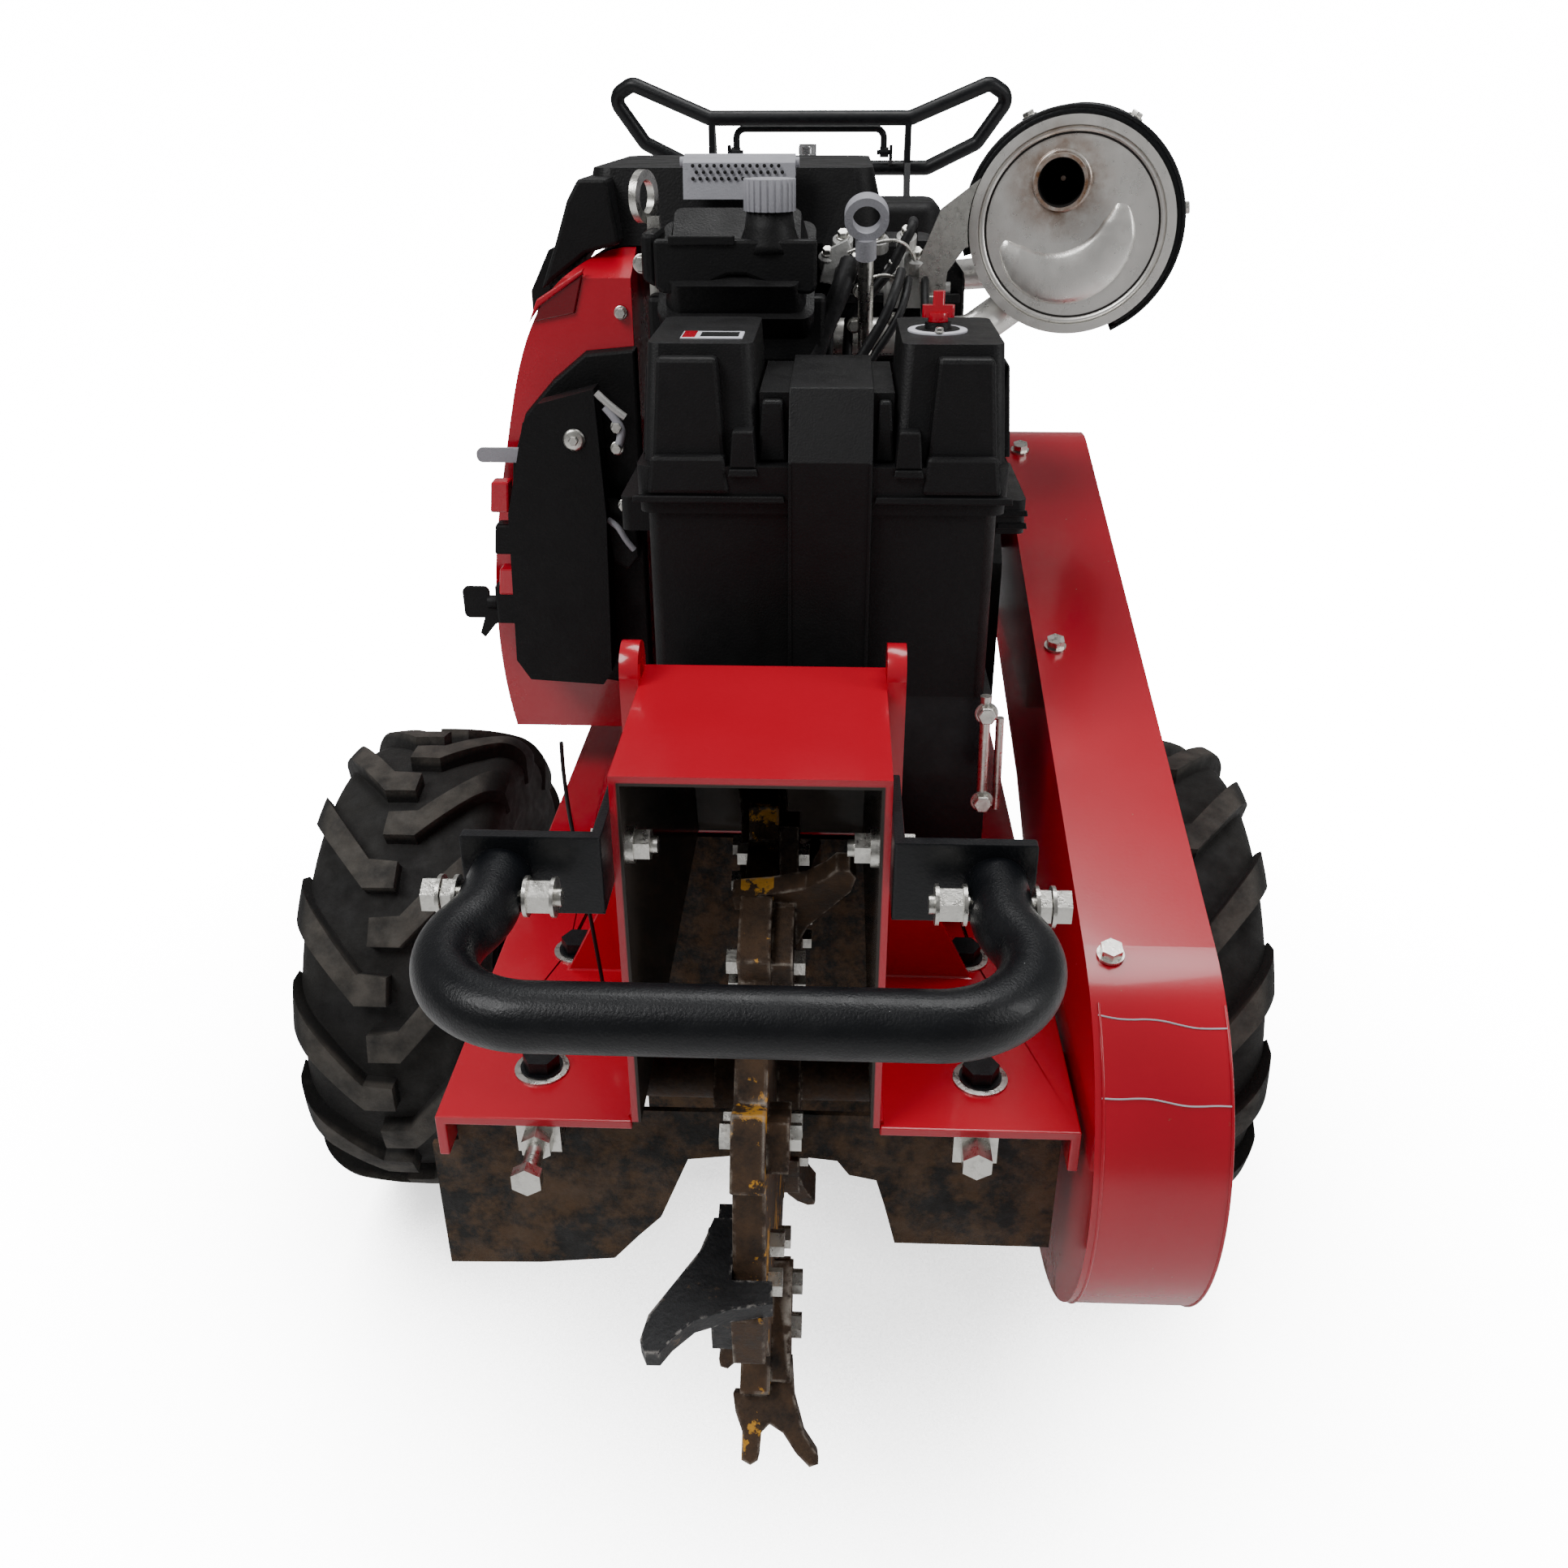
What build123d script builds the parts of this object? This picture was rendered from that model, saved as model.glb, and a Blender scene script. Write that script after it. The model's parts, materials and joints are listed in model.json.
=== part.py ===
from build123d import *
import os
from math import asin, atan2, cos, degrees, hypot, radians, sin, sqrt

# Walk-behind wheel trencher.  Millimetres, +Z up from the ground, the cutting rotor at -Y, the
# handlebar at +Y, the belt drive on the +X side.  Origin: middle of the machine, on the ground.

# ---------------------------------------------------------------- driving dimensions
GAP = 0.3                        # clearance between parts that move against each other

TYRE_R = 228.6                   # 18 inch drive tyre
TYRE_W = 164
TREAD_DEPTH = 15
LUGS = 14                        # lugs on each half of the tread
WHEEL_X = 343                    # tyre centre plane
AXLE = (-131, TYRE_R)            # (y, z) of the drive axle
AXLE_R = 16

DECK_TOP = 435
DECK_T = 6.35
DECK_HALF = 204
DECK_FRONT = -608
DECK_REAR = 350
FLANGE_H = 32

ROTOR = (-490, 379.5)            # (y, z) of the rotor shaft
SHAFT_R = 19.05                  # 1 1/2 inch shaft
DISC_R = 190
DISC_T = 20
TIP_R = 258
FACE = DISC_T / 2                # a side face of the disc
STATIONS = 10                    # claw seats round the disc
STATION_0 = -9                   # first seat, degrees above the forward direction
CLAW_BOLT_R = (142, 170)         # the two bolts of each claw, from the shaft

HOOD_HALF = 78
HOOD_T = 6
HOOD_TOP = 680
HOOD_BACK = -448                 # rear edge of the flat roof
TUNNEL_R = 268                   # outside radius of the rear of the tunnel

BEARING_X = 145
BEARING_BOLT = 68.5              # half of the bolt spacing of a 1 1/2 inch pillow block

BUMPER_Y = -764
BUMPER_Z = 636
BUMPER_X = 133
BUMPER_FLARE = 168               # where the flared legs would meet the front bar
BUMPER_R = 16.7
BUMPER_CORNER = 50

GUARD_X0 = 208                   # inner face of the guard's back plate
GUARD_X1 = 292
GUARD_T = 3
GUARD_FRONT_R = 150
GUARD_REAR = (115, 622)
GUARD_REAR_R = 82

CRANK = (80, 612)                # (y, z) of the engine crankshaft
ROTOR_SHEAVE_R = 85
ENGINE_SHEAVE_R = 55
IDLER_R = 28
IDLER = (-312, 476)
BELT_T = 8
BELT_X0 = 224
BELT_X1 = 248

BATTERY_X = (-84, 153)
BATTERY_Y = (-366, -176)
BATTERY_Z = 624
LIP_Z = 768
TOWER_TOP = 865

ENGINE_BASE = 490
BANK_ANGLE = 40                  # each cylinder bank from the vertical

MUFFLER_R = 76
MUFFLER = (223, 917)             # (x, z) of the drum's axis
MUFFLER_Y = (-125, 108)
MUFFLER_YAW = 10                 # the drum's rear end stands out by this angle

TANK_Y = (375, 500)
TANK_Z = (800, 900)

BAR_R = 9.5                      # 3/4 inch handlebar tube
BAR_Y = 771                      # rear run of the handlebar
BAR_TOP_Z = 979
BAR_LOW_Z = 917

JACK_Y = 545
CASTER_R = 100
TRAIL = 34


# ---------------------------------------------------------------- shared shapes
def prism(origin, direction, across, length):
    """A hexagon prism, across flats, growing from origin along direction."""
    with BuildPart() as body:
        with BuildSketch(Plane(origin=origin, z_dir=direction)):
            RegularPolygon(radius=across / sqrt(3), side_count=6)
        extrude(amount=length)
    return body.part


def rod(origin, direction, radius, length):
    """A round bar growing from origin along direction."""
    with BuildPart() as body:
        with BuildSketch(Plane(origin=origin, z_dir=direction)):
            Circle(radius)
        extrude(amount=length)
    return body.part


def ring(origin, direction, outer, inner, length):
    """A round tube growing from origin along direction."""
    with BuildPart() as body:
        with BuildSketch(Plane(origin=origin, z_dir=direction)):
            Circle(outer)
            Circle(inner, mode=Mode.SUBTRACT)
        extrude(amount=length)
    return body.part


def block(x, y, z, edge=0):
    """A box between two x, two y and two z, its upright edges rounded by edge."""
    with BuildPart() as body:
        with BuildSketch(Plane.XY.offset(z[0])):
            with Locations(((x[0] + x[1]) / 2, (y[0] + y[1]) / 2)):
                if edge:
                    RectangleRounded(x[1] - x[0], y[1] - y[0], edge)
                else:
                    Rectangle(x[1] - x[0], y[1] - y[0])
        extrude(amount=z[1] - z[0])
    return body.part


def side_plate(points, x0, x1):
    """A flat plate between x0 and x1 whose outline is given in (y, z)."""
    with BuildPart() as body:
        with BuildSketch(Plane.YZ.offset(x0)):
            with BuildLine():
                Polyline(*points, close=True)
            make_face()
        extrude(amount=x1 - x0)
    return body.part


def tube(points, corner, radius, bore=0):
    """A round tube along straight runs joined by tangent arcs."""
    with BuildPart() as body:
        with BuildLine() as route:
            FilletPolyline(*points, radius=corner)
        with BuildSketch(Plane(origin=route.line @ 0, z_dir=route.line % 0)):
            Circle(radius)
            if bore:
                Circle(bore, mode=Mode.SUBTRACT)
        sweep()
    return body.part


def bolt(origin, direction, radius, length, across, head):
    """A hexagon head with a washer under it; the shank runs along direction from origin."""
    back = tuple(-d for d in direction)
    with BuildPart() as body:
        add(prism(tuple(o + b * 2 for o, b in zip(origin, back)), back, across, head))
        add(rod(tuple(o + b * 2 for o, b in zip(origin, back)), direction, across * 0.68, 2))
        add(rod(tuple(o + b * 0.5 for o, b in zip(origin, back)), direction, radius, length + 0.5))
    return body.part


def on_circle(centre, radius, angle):
    """The point of a circle in (y, z) at an angle in degrees from +Y."""
    return (centre[0] + radius * cos(radians(angle)), centre[1] + radius * sin(radians(angle)))


def tangent_angle(a, ra, b, rb, side):
    """Direction from either centre to its touching point, for the line from a to b that leaves
    the circles on the given side (+1 is the left of a to b); a negative radius crosses over."""
    heading = atan2(b[1] - a[1], b[0] - a[0])
    lean = asin((ra - rb) / hypot(b[0] - a[0], b[1] - a[1]))
    return degrees(heading) + side * (90 - degrees(lean))


def save(part, name):
    part.label = name
    export_step(part, f"parts/{name}.step")


os.makedirs("parts", exist_ok=True)

# ---------------------------------------------------------------- deck and rotor hood
SLOT_REAR = ROTOR[0] + sqrt(TUNNEL_R ** 2 - (DECK_TOP - ROTOR[1]) ** 2)

with BuildPart() as deck:
    add(block((-DECK_HALF, DECK_HALF), (DECK_FRONT, DECK_REAR), (DECK_TOP - DECK_T, DECK_TOP)))
    add(block((-HOOD_HALF, HOOD_HALF), (DECK_FRONT - 1, SLOT_REAR), (DECK_TOP - 20, DECK_TOP + 1)),
        mode=Mode.SUBTRACT)
    for side in (-1, 1):
        outer = side * DECK_HALF
        inner = side * (DECK_HALF - DECK_T)
        add(block((min(outer, inner), max(outer, inner)), (DECK_FRONT, -350),
                  (DECK_TOP - FLANGE_H, DECK_TOP - 1)))
        for bolt_y in (ROTOR[0] - BEARING_BOLT, ROTOR[0] + BEARING_BOLT):
            add(rod((side * BEARING_X, bolt_y, DECK_TOP - 20), (0, 0, 1), 6.6, 40),
                mode=Mode.SUBTRACT)
        edge = side * HOOD_HALF
        with BuildSketch(Plane.XZ.offset(446)):
            with BuildLine():
                Polyline((edge, DECK_TOP), (edge + side * 70, DECK_TOP), (edge + side * 8, 560),
                         (edge, 560), close=True)
            make_face()
        extrude(amount=-6)
        add(block((side * 92 - 20, side * 92 + 20), (-40, 200), (DECK_TOP - 1, ENGINE_BASE)))
save(deck.part, "deck")


def hood_outline(inset):
    """Side outline of the tunnel over the rotor, with its plates' thickness taken off."""
    radius = TUNNEL_R - inset
    knee = (-372, ROTOR[1] + sqrt(radius ** 2 - (-372 - ROTOR[0]) ** 2))
    foot = (ROTOR[0] + sqrt(radius ** 2 - (DECK_TOP - ROTOR[1]) ** 2), DECK_TOP)
    middle = on_circle(ROTOR, radius, 38)
    roof = HOOD_TOP - inset
    return roof, knee, middle, foot


def hood_solid(inset, half):
    roof, knee, middle, foot = hood_outline(inset)
    front = DECK_FRONT - (10 if inset else 0)
    floor = DECK_TOP - (10 if inset else 0)
    with BuildPart() as body:
        with BuildSketch(Plane.YZ.offset(-half)):
            with BuildLine():
                Polyline((foot[0], foot[1]), (foot[0], floor - 0.01), (front, floor - 0.01),
                         (front, roof), (HOOD_BACK, roof), knee)
                ThreePointArc(knee, middle, foot)
            make_face()
        extrude(amount=2 * half)
    return body.part


with BuildPart() as rotor_hood:
    add(hood_solid(0, HOOD_HALF))
    add(hood_solid(HOOD_T, HOOD_HALF - HOOD_T), mode=Mode.SUBTRACT)
    for side in (-1, 1):
        add(rod((side * 60, -595, 630), (side, 0, 0), 5.2, 40), mode=Mode.SUBTRACT)
        with BuildSketch(Plane.YZ.offset(min(side * HOOD_HALF, side * (HOOD_HALF + 12)))):
            with Locations((-466, 650)):
                SlotOverall(106, 36, rotation=90)
            with Locations((-466, 620)):
                Rectangle(36, 60)
            with Locations((-466, 666)):
                SlotOverall(52, 16, rotation=90, mode=Mode.SUBTRACT)
        extrude(amount=12)
save(rotor_hood.part, "rotor_hood")

# ---------------------------------------------------------------- chassis under the deck
with BuildPart() as chassis_frame:
    for side in (-1, 1):
        low = min(side * 146, side * 196)
        add(block((low, low + 50), (-330, DECK_REAR), (378, DECK_TOP - DECK_T)))
        add(block((low + 4, low + 46), (-331, DECK_REAR + 1), (382, DECK_TOP - DECK_T - 4)),
            mode=Mode.SUBTRACT)
        web = min(side * 184, side * 196)
        add(side_plate([(-226, 379), (-36, 379), (-86, 190), (-176, 190)], web, web + 12))
        add(rod((side * 82, AXLE[0], AXLE[1]), (side, 0, 0), 30, 136))
        add(rod((side * 80, AXLE[0], AXLE[1]), (side, 0, 0), AXLE_R + GAP, 140),
            mode=Mode.SUBTRACT)
        add(side_plate([(300, DECK_TOP), (345, DECK_TOP), (470, TANK_Z[0] - 6),
                        (470, TANK_Z[0]), (TANK_Y[0], TANK_Z[0])],
                       min(side * 104, side * 110), min(side * 104, side * 110) + 6))
    add(block((-147, 147), (DECK_REAR - 60, DECK_REAR), (378, DECK_TOP - DECK_T)))
    add(block((-30, 30), (DECK_REAR - 1, JACK_Y - 31), (378, DECK_TOP - DECK_T)))
    add(block((-32, 32), (JACK_Y - 32, JACK_Y + 32), (300, 650)))
    add(block((-26, 26), (JACK_Y - 26, JACK_Y + 26), (299, 640)), mode=Mode.SUBTRACT)
save(chassis_frame.part, "chassis_frame")

with BuildPart() as transaxle:
    add(block((-82, 82), (AXLE[0] - 75, AXLE[0] + 105), (165, 300), 18))
    add(block((-50, 50), (AXLE[0] - 40, AXLE[0] + 80), (300, 372), 12))
    fillet(transaxle.edges().filter_by(Axis.Y).group_by(Axis.Z)[0], 12)
    add(rod((-90, AXLE[0], AXLE[1]), (1, 0, 0), AXLE_R + 4, 180), mode=Mode.SUBTRACT)
    add(block((-120, 120), (AXLE[0] - 10, AXLE[0] + 50), (372, 378)))
    for side in (-1, 1):
        add(block((min(side * 116, side * 146), max(side * 116, side * 146)),
                  (AXLE[0] - 10, AXLE[0] + 50), (372, 400)))
save(transaxle.part, "transaxle")

# ---------------------------------------------------------------- drive wheels


def tread_envelope():
    """The outside shape of the tyre as a solid of revolution about X, centred on the axle."""
    half = TYRE_W / 2
    with BuildPart() as body:
        with BuildSketch(Plane.XY):
            with BuildLine():
                Polyline((-half + 6, 120), (-half, 150), (-half, 190))
                ThreePointArc((-half, 190), (-half + 8, 217), (-half + 24, TYRE_R - 4))
                ThreePointArc((-half + 24, TYRE_R - 4), (0, TYRE_R), (half - 24, TYRE_R - 4))
                ThreePointArc((half - 24, TYRE_R - 4), (half - 8, 217), (half, 190))
                Polyline((half, 190), (half, 150), (half - 6, 120), (-half + 6, 120))
            make_face()
        revolve(axis=Axis.X)
    return body.part


def carcass():
    """The tyre under its lugs, open in the middle for the rim."""
    half = TYRE_W / 2 - 3
    crown = TYRE_R - TREAD_DEPTH
    with BuildPart() as body:
        with BuildSketch(Plane.XY):
            with BuildLine():
                Polyline((-half + 24, 104), (-half + 6, 120), (-half, 150), (-half, 180))
                ThreePointArc((-half, 180), (-half + 8, 203), (-half + 28, crown - 4))
                ThreePointArc((-half + 28, crown - 4), (0, crown), (half - 28, crown - 4))
                ThreePointArc((half - 28, crown - 4), (half - 8, 203), (half, 180))
                Polyline((half, 180), (half, 150), (half - 6, 120), (half - 24, 104),
                         (-half + 24, 104))
            make_face()
        revolve(axis=Axis.X)
    return body.part


def lug(turn, side):
    """One slanting tread bar; side +1 or -1 is the half of the tread that it covers."""
    base = 165
    half = TYRE_W / 2
    with BuildPart() as body:
        with BuildSketch(Plane(origin=(0, 0, base), x_dir=(1, 0, 0), z_dir=(0, 0, 1))):
            with BuildLine():
                Polyline((-side * 9, -12), (side * 19, -12), (side * half, 60), (side * half, 92),
                         (side * 17, 15), (-side * 9, 13), close=True)
            make_face()
        extrude(amount=80)
    return body.part.rotate(Axis.X, turn)


def tyre(place):
    with BuildPart() as body:
        for index in range(LUGS):
            add(lug(index * 360 / LUGS, 1))
            add(lug((index + 0.5) * 360 / LUGS, -1))
        add(tread_envelope(), mode=Mode.INTERSECT)
        add(carcass())
    return body.part.moved(Location(place))


def rim(place):
    """A welded disc wheel: barrel with two bead flanges and a dished centre."""
    with BuildPart() as body:
        with BuildSketch(Plane.XY):
            with BuildLine():
                Polyline((-72, 100), (-66, 104), (66, 104), (72, 100), (72, 95), (60, 98),
                         (20, 98), (20, 60), (26, 30), (18, 30), (12, 60), (12, 98), (-60, 98),
                         (-72, 95), close=True)
            make_face()
        revolve(axis=Axis.X)
    return body.part.moved(Location(place))


for side, name in ((-1, "left"), (1, "right")):
    place = (side * WHEEL_X, AXLE[0], AXLE[1])
    save(tyre(place), f"tyre_{name}")
    turned = rim((0, 0, 0)) if side > 0 else rim((0, 0, 0)).rotate(Axis.Z, 180)
    with BuildPart() as wheel:
        add(turned.moved(Location(place)))
        add(rod((side * 84, AXLE[0], AXLE[1]), (side, 0, 0), AXLE_R, WHEEL_X - 60))
        add(rod((side * (WHEEL_X + 18), AXLE[0], AXLE[1]), (-side, 0, 0), 29.5, 80))
        add(rod((side * (WHEEL_X + 13), AXLE[0], AXLE[1]), (-side, 0, 0), 62, 14))
        for index in range(5):
            angle = radians(index * 72 + 90)
            y = AXLE[0] + 45 * sin(angle)
            z = AXLE[1] + 45 * cos(angle)
            add(rod((side * (WHEEL_X + 8), y, z), (side, 0, 0), 6, 34))
            add(prism((side * (WHEEL_X + 22), y, z), (side, 0, 0), 19, 14))
    save(wheel.part, f"rim_{name}")

# ---------------------------------------------------------------- rotor
with BuildPart() as pillow_blocks:
    for side in (-1, 1):
        x = side * BEARING_X
        roof = DECK_TOP - DECK_T
        add(block((x - 24.5, x + 24.5), (ROTOR[0] - 92, ROTOR[0] + 92), (roof - 18, roof), 20))
        add(side_plate([(ROTOR[0] - 54, roof - 18), (ROTOR[0] + 54, roof - 18),
                        (ROTOR[0] + 44, ROTOR[1] - 12), (ROTOR[0] - 44, ROTOR[1] - 12)],
                       x - 17, x + 17))
        add(rod((x - 24.5, ROTOR[0], ROTOR[1]), (1, 0, 0), 47, 49))
        add(rod((x - 30, ROTOR[0], ROTOR[1]), (1, 0, 0), SHAFT_R + 0.05, 60), mode=Mode.SUBTRACT)
        for bolt_y in (ROTOR[0] - BEARING_BOLT, ROTOR[0] + BEARING_BOLT):
            add(rod((x, bolt_y, roof - 30), (0, 0, 1), 6.6, 40), mode=Mode.SUBTRACT)
save(pillow_blocks.part, "pillow_blocks")

with BuildPart() as bearing_bolts:
    for side in (-1, 1):
        for bolt_y in (ROTOR[0] - BEARING_BOLT, ROTOR[0] + BEARING_BOLT):
            x = side * BEARING_X
            add(rod((x, bolt_y, DECK_TOP), (0, 0, 1), 14, 3))
            add(prism((x, bolt_y, DECK_TOP + 3), (0, 0, 1), 21, 9))
            add(rod((x, bolt_y, DECK_TOP + 0.5), (0, 0, -1), 6.35, 40))
            add(prism((x, bolt_y, DECK_TOP - DECK_T - 18), (0, 0, -1), 19, 10))
save(bearing_bolts.part, "bearing_bolts")

with BuildPart() as tension_bolts:
    for side, front in ((-1, -646), (1, -622)):
        x = side * 139
        z = DECK_TOP - DECK_T - 11
        add(block((x - 14, x + 14), (-606, -594), (z - 11, z + 11)))
        add(rod((x, front, z), (0, 1, 0), 6, ROTOR[0] - 92 - front - GAP))
        add(prism((x, front, z), (0, 1, 0), 18, 8))
        add(prism((x, -616, z), (0, 1, 0), 18, 10))
save(tension_bolts.part, "tension_bolts")

with BuildPart() as rotor_shaft:
    add(rod((-186, ROTOR[0], ROTOR[1]), (1, 0, 0), SHAFT_R, 446))
    add(rod((-34, ROTOR[0], ROTOR[1]), (1, 0, 0), 45, 34 - DISC_T / 2))
    add(rod((DISC_T / 2, ROTOR[0], ROTOR[1]), (1, 0, 0), 45, 16))
save(rotor_shaft.part, "rotor_shaft")

def bolt_places(station):
    """Where the two bolts of a claw cross the disc, in (y, z)."""
    angle = 180 - STATION_0 - station * 360 / STATIONS
    return [on_circle(ROTOR, radius, angle) for radius in CLAW_BOLT_R]


with BuildPart() as rotor_disc:
    with BuildSketch(Plane.YZ.offset(-DISC_T / 2)):
        with Locations(ROTOR):
            Circle(DISC_R)
            for index in range(STATIONS):
                with Locations(Rotation(0, 0, 180 - STATION_0 - index * 360 / STATIONS)):
                    with Locations((DISC_R + 4, 0)):
                        Rectangle(36, 46)
            Circle(SHAFT_R, mode=Mode.SUBTRACT)
    extrude(amount=DISC_T)
    for station in range(STATIONS):
        for y, z in bolt_places(station):
            add(rod((-60, y, z), (1, 0, 0), 5.1, 120), mode=Mode.SUBTRACT)
save(rotor_disc.part, "rotor_disc")


def seated(body, station, side):
    """A claw made pointing down -Z beside the +X face of the disc, turned to its station."""
    turned = body.rotate(Axis.X, 90 - (STATION_0 + station * 360 / STATIONS))
    placed = turned if side > 0 else turned.mirror(Plane.YZ)
    with BuildPart() as drilled:
        add(placed.moved(Location((0, ROTOR[0], ROTOR[1]))))
        for y, z in bolt_places(station):
            add(rod((-60, y, z), (1, 0, 0), 5.1, 120), mode=Mode.SUBTRACT)
    return drilled.part


def flat_claw(outline, ahead, thickness):
    """A claw outline in (x, distance from the shaft), from a tangential position ahead."""
    with BuildPart() as body:
        with BuildSketch(Plane(origin=(0, ahead, 0), x_dir=(1, 0, 0), z_dir=(0, 1, 0))):
            with BuildLine():
                Polyline(*[(x, -reach) for x, reach in outline], close=True)
            make_face()
        extrude(amount=thickness)
    return body.part


def root_plate():
    return flat_claw([(FACE, 128), (FACE + 13, 128), (FACE + 13, 204), (FACE, 204)], -20, 40)


def stub_claw():
    return flat_claw([(FACE, 146), (FACE + 13, 146), (FACE + 13, 196), (FACE, 196)], -15, 30)


def horn_claw():
    """A worn claw: a finger that curves away from the disc."""
    finger = flat_claw([(FACE, 200), (FACE + 13, 186), (FACE + 16, 206), (FACE + 20, 226),
                        (FACE + 26, TIP_R - 11), (FACE + 25, TIP_R - 4), (FACE + 19, TIP_R - 2),
                        (FACE + 10, TIP_R - 12), (FACE + 2, 228)], -13, 26)
    with BuildPart() as body:
        add(root_plate())
        add(finger)
    return body.part


def plough_claw():
    """A wide claw: its blade crosses the front of the seat and sweeps out to a blunt tip."""
    blade = flat_claw([(24, 150), (FACE + 0.3, 150), (FACE + 0.3, 193), (-14, 193), (-15, 208),
                       (8, 212), (30, 220), (42, 232), (48, 241), (56, 241), (60, 233), (57, 217),
                       (43, 194), (31, 174)], 23.3, 13)
    with BuildPart() as body:
        add(root_plate())
        add(flat_claw([(FACE, 150), (FACE + 13, 150), (FACE + 13, 203), (FACE, 203)], 19, 6))
        add(blade)
    return body.part


def fork_claw():
    """A split claw: one finger straight ahead of the disc and one turned out."""
    fork = flat_claw([(FACE, 190), (FACE + 14, 190), (26, 214), (33, 236), (42, 248), (43, 254),
                      (37, 256), (28, 248), (19, 236), (10, 231), (4, 237), (3, 253), (-2, 256),
                      (-8, 253), (-8, 236), (-13, 224), (-15, 212.5), (FACE, 212.5)], -13, 26)
    with BuildPart() as body:
        add(root_plate())
        add(fork)
    return body.part


def claw_bolts(station, side):
    """The two bolts through the root plate and the disc."""
    with BuildPart() as body:
        for y, z in bolt_places(station):
            add(rod((-side * 10, y, z), (side, 0, 0), 5, 33))
            add(prism((side * 23, y, z), (side, 0, 0), 15, 7))
            add(prism((-side * 10, y, z), (-side, 0, 0), 15, 9))
    return body.part


LEFT_CLAWS = (0, 4, 6, 8)
save(seated(plough_claw(), 0, -1), "claw_new")
with BuildPart() as claws_worn:
    add(seated(plough_claw(), 2, 1))
    add(seated(fork_claw(), 9, 1))
    for station in (1, 3):
        add(seated(stub_claw(), station, 1))
    for station in (4, 6, 8):
        add(seated(horn_claw(), station, -1))
    for station in (5, 7):
        add(seated(horn_claw(), station, 1))
save(claws_worn.part, "claws_worn")
with BuildPart() as claw_bolt_set:
    for station in range(STATIONS):
        add(claw_bolts(station, -1 if station in LEFT_CLAWS else 1))
save(claw_bolt_set.part, "claw_bolts")

# ---------------------------------------------------------------- bumper
with BuildPart() as bumper:
    add(tube([(-BUMPER_X, -641, BUMPER_Z), (-BUMPER_X, -681, BUMPER_Z),
              (-BUMPER_FLARE, BUMPER_Y, BUMPER_Z), (BUMPER_FLARE, BUMPER_Y, BUMPER_Z),
              (BUMPER_X, -681, BUMPER_Z), (BUMPER_X, -641, BUMPER_Z)],
             BUMPER_CORNER, BUMPER_R, BUMPER_R - 3.4))
    for side in (-1, 1):
        add(rod((side * 100, -662, BUMPER_Z), (side, 0, 0), 5.3, 60), mode=Mode.SUBTRACT)
save(bumper.part, "bumper")

with BuildPart() as bumper_brackets:
    for side in (-1, 1):
        near = min(side * HOOD_HALF, side * 154)
        flat = min(side * HOOD_HALF, side * (HOOD_HALF + 6))
        add(block((near, near + 76), (-641, -633), (612, 660)))
        add(block((flat, flat + 6), (-633, -560), (612, 660)))
        add(rod((side * 70, -595, 630), (side, 0, 0), 5.2, 30), mode=Mode.SUBTRACT)
save(bumper_brackets.part, "bumper_brackets")

with BuildPart() as bumper_bolts:
    for side in (-1, 1):
        add(rod((side * 96, -662, BUMPER_Z), (side, 0, 0), 5, 72))
        add(prism((side * 161, -662, BUMPER_Z), (side, 0, 0), 17, 8))
        for washer in (99, 113.5, 150.5, 159):
            add(rod((side * washer, -662, BUMPER_Z), (side, 0, 0), 11, 2))
        add(prism((side * 101, -662, BUMPER_Z), (side, 0, 0), 17, 12.5))
        add(prism((side * 152.5, -662, BUMPER_Z), (side, 0, 0), 17, 6))
        add(rod((side * 54, -595, 630), (side, 0, 0), 5, 38))
        add(prism((side * 58, -595, 630), (side, 0, 0), 17, 9))
        for washer in (67, 69.5):
            add(rod((side * washer, -595, 630), (side, 0, 0), 11, 2.5))
        add(prism((side * 84, -595, 630), (side, 0, 0), 17, 8))
save(bumper_bolts.part, "bumper_bolts")

# ---------------------------------------------------------------- rubber flaps beside the rotor
with BuildPart() as mud_flaps:
    for outline in ([(-196, DECK_TOP - DECK_T), (-197, 400), (-215, 396), (-215, 288),
                     (-152, 290), (-100, 296), (-82, 318), (-66, 336), (-56, 362), (-46, 388),
                     (-17, 392), (-17, DECK_TOP - DECK_T)],
                    [(17, DECK_TOP - DECK_T), (17, 394), (52, 390), (60, 378), (78, 374),
                     (84, 352), (92, 318), (196, 318), (196, DECK_TOP - DECK_T)]):
        with BuildSketch(Plane.XZ.offset(590)):
            with BuildLine():
                Polyline(*outline, close=True)
            make_face()
        extrude(amount=-4)
    for side in (-1, 1):
        add(rod((side * 139, -595, DECK_TOP - DECK_T - 11), (0, 1, 0), 8, 12),
            mode=Mode.SUBTRACT)
    add(block((-76, 76), (-222, -217), (150, DECK_TOP - DECK_T)))
save(mud_flaps.part, "mud_flaps")

# ---------------------------------------------------------------- belt drive


def guard_face(inset):
    """Side outline of the belt guard in (y, z), moved in by inset."""
    front_r = GUARD_FRONT_R - inset
    rear_r = GUARD_REAR_R - inset
    upper = tangent_angle(ROTOR, front_r, GUARD_REAR, rear_r, 1)
    knee = (-190, 472 + inset)
    low_rear = on_circle(GUARD_REAR, rear_r, -100)
    low_front = on_circle(ROTOR, front_r, 10)
    with BuildSketch(Plane.YZ) as face:
        with BuildLine():
            Line(on_circle(ROTOR, front_r, upper), on_circle(GUARD_REAR, rear_r, upper))
            ThreePointArc(on_circle(GUARD_REAR, rear_r, upper), on_circle(GUARD_REAR, rear_r, 0),
                          low_rear)
            Polyline(low_rear, knee, low_front)
            ThreePointArc(low_front, on_circle(ROTOR, front_r, -120),
                          on_circle(ROTOR, front_r, upper))
        make_face()
    return face.sketch


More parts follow.
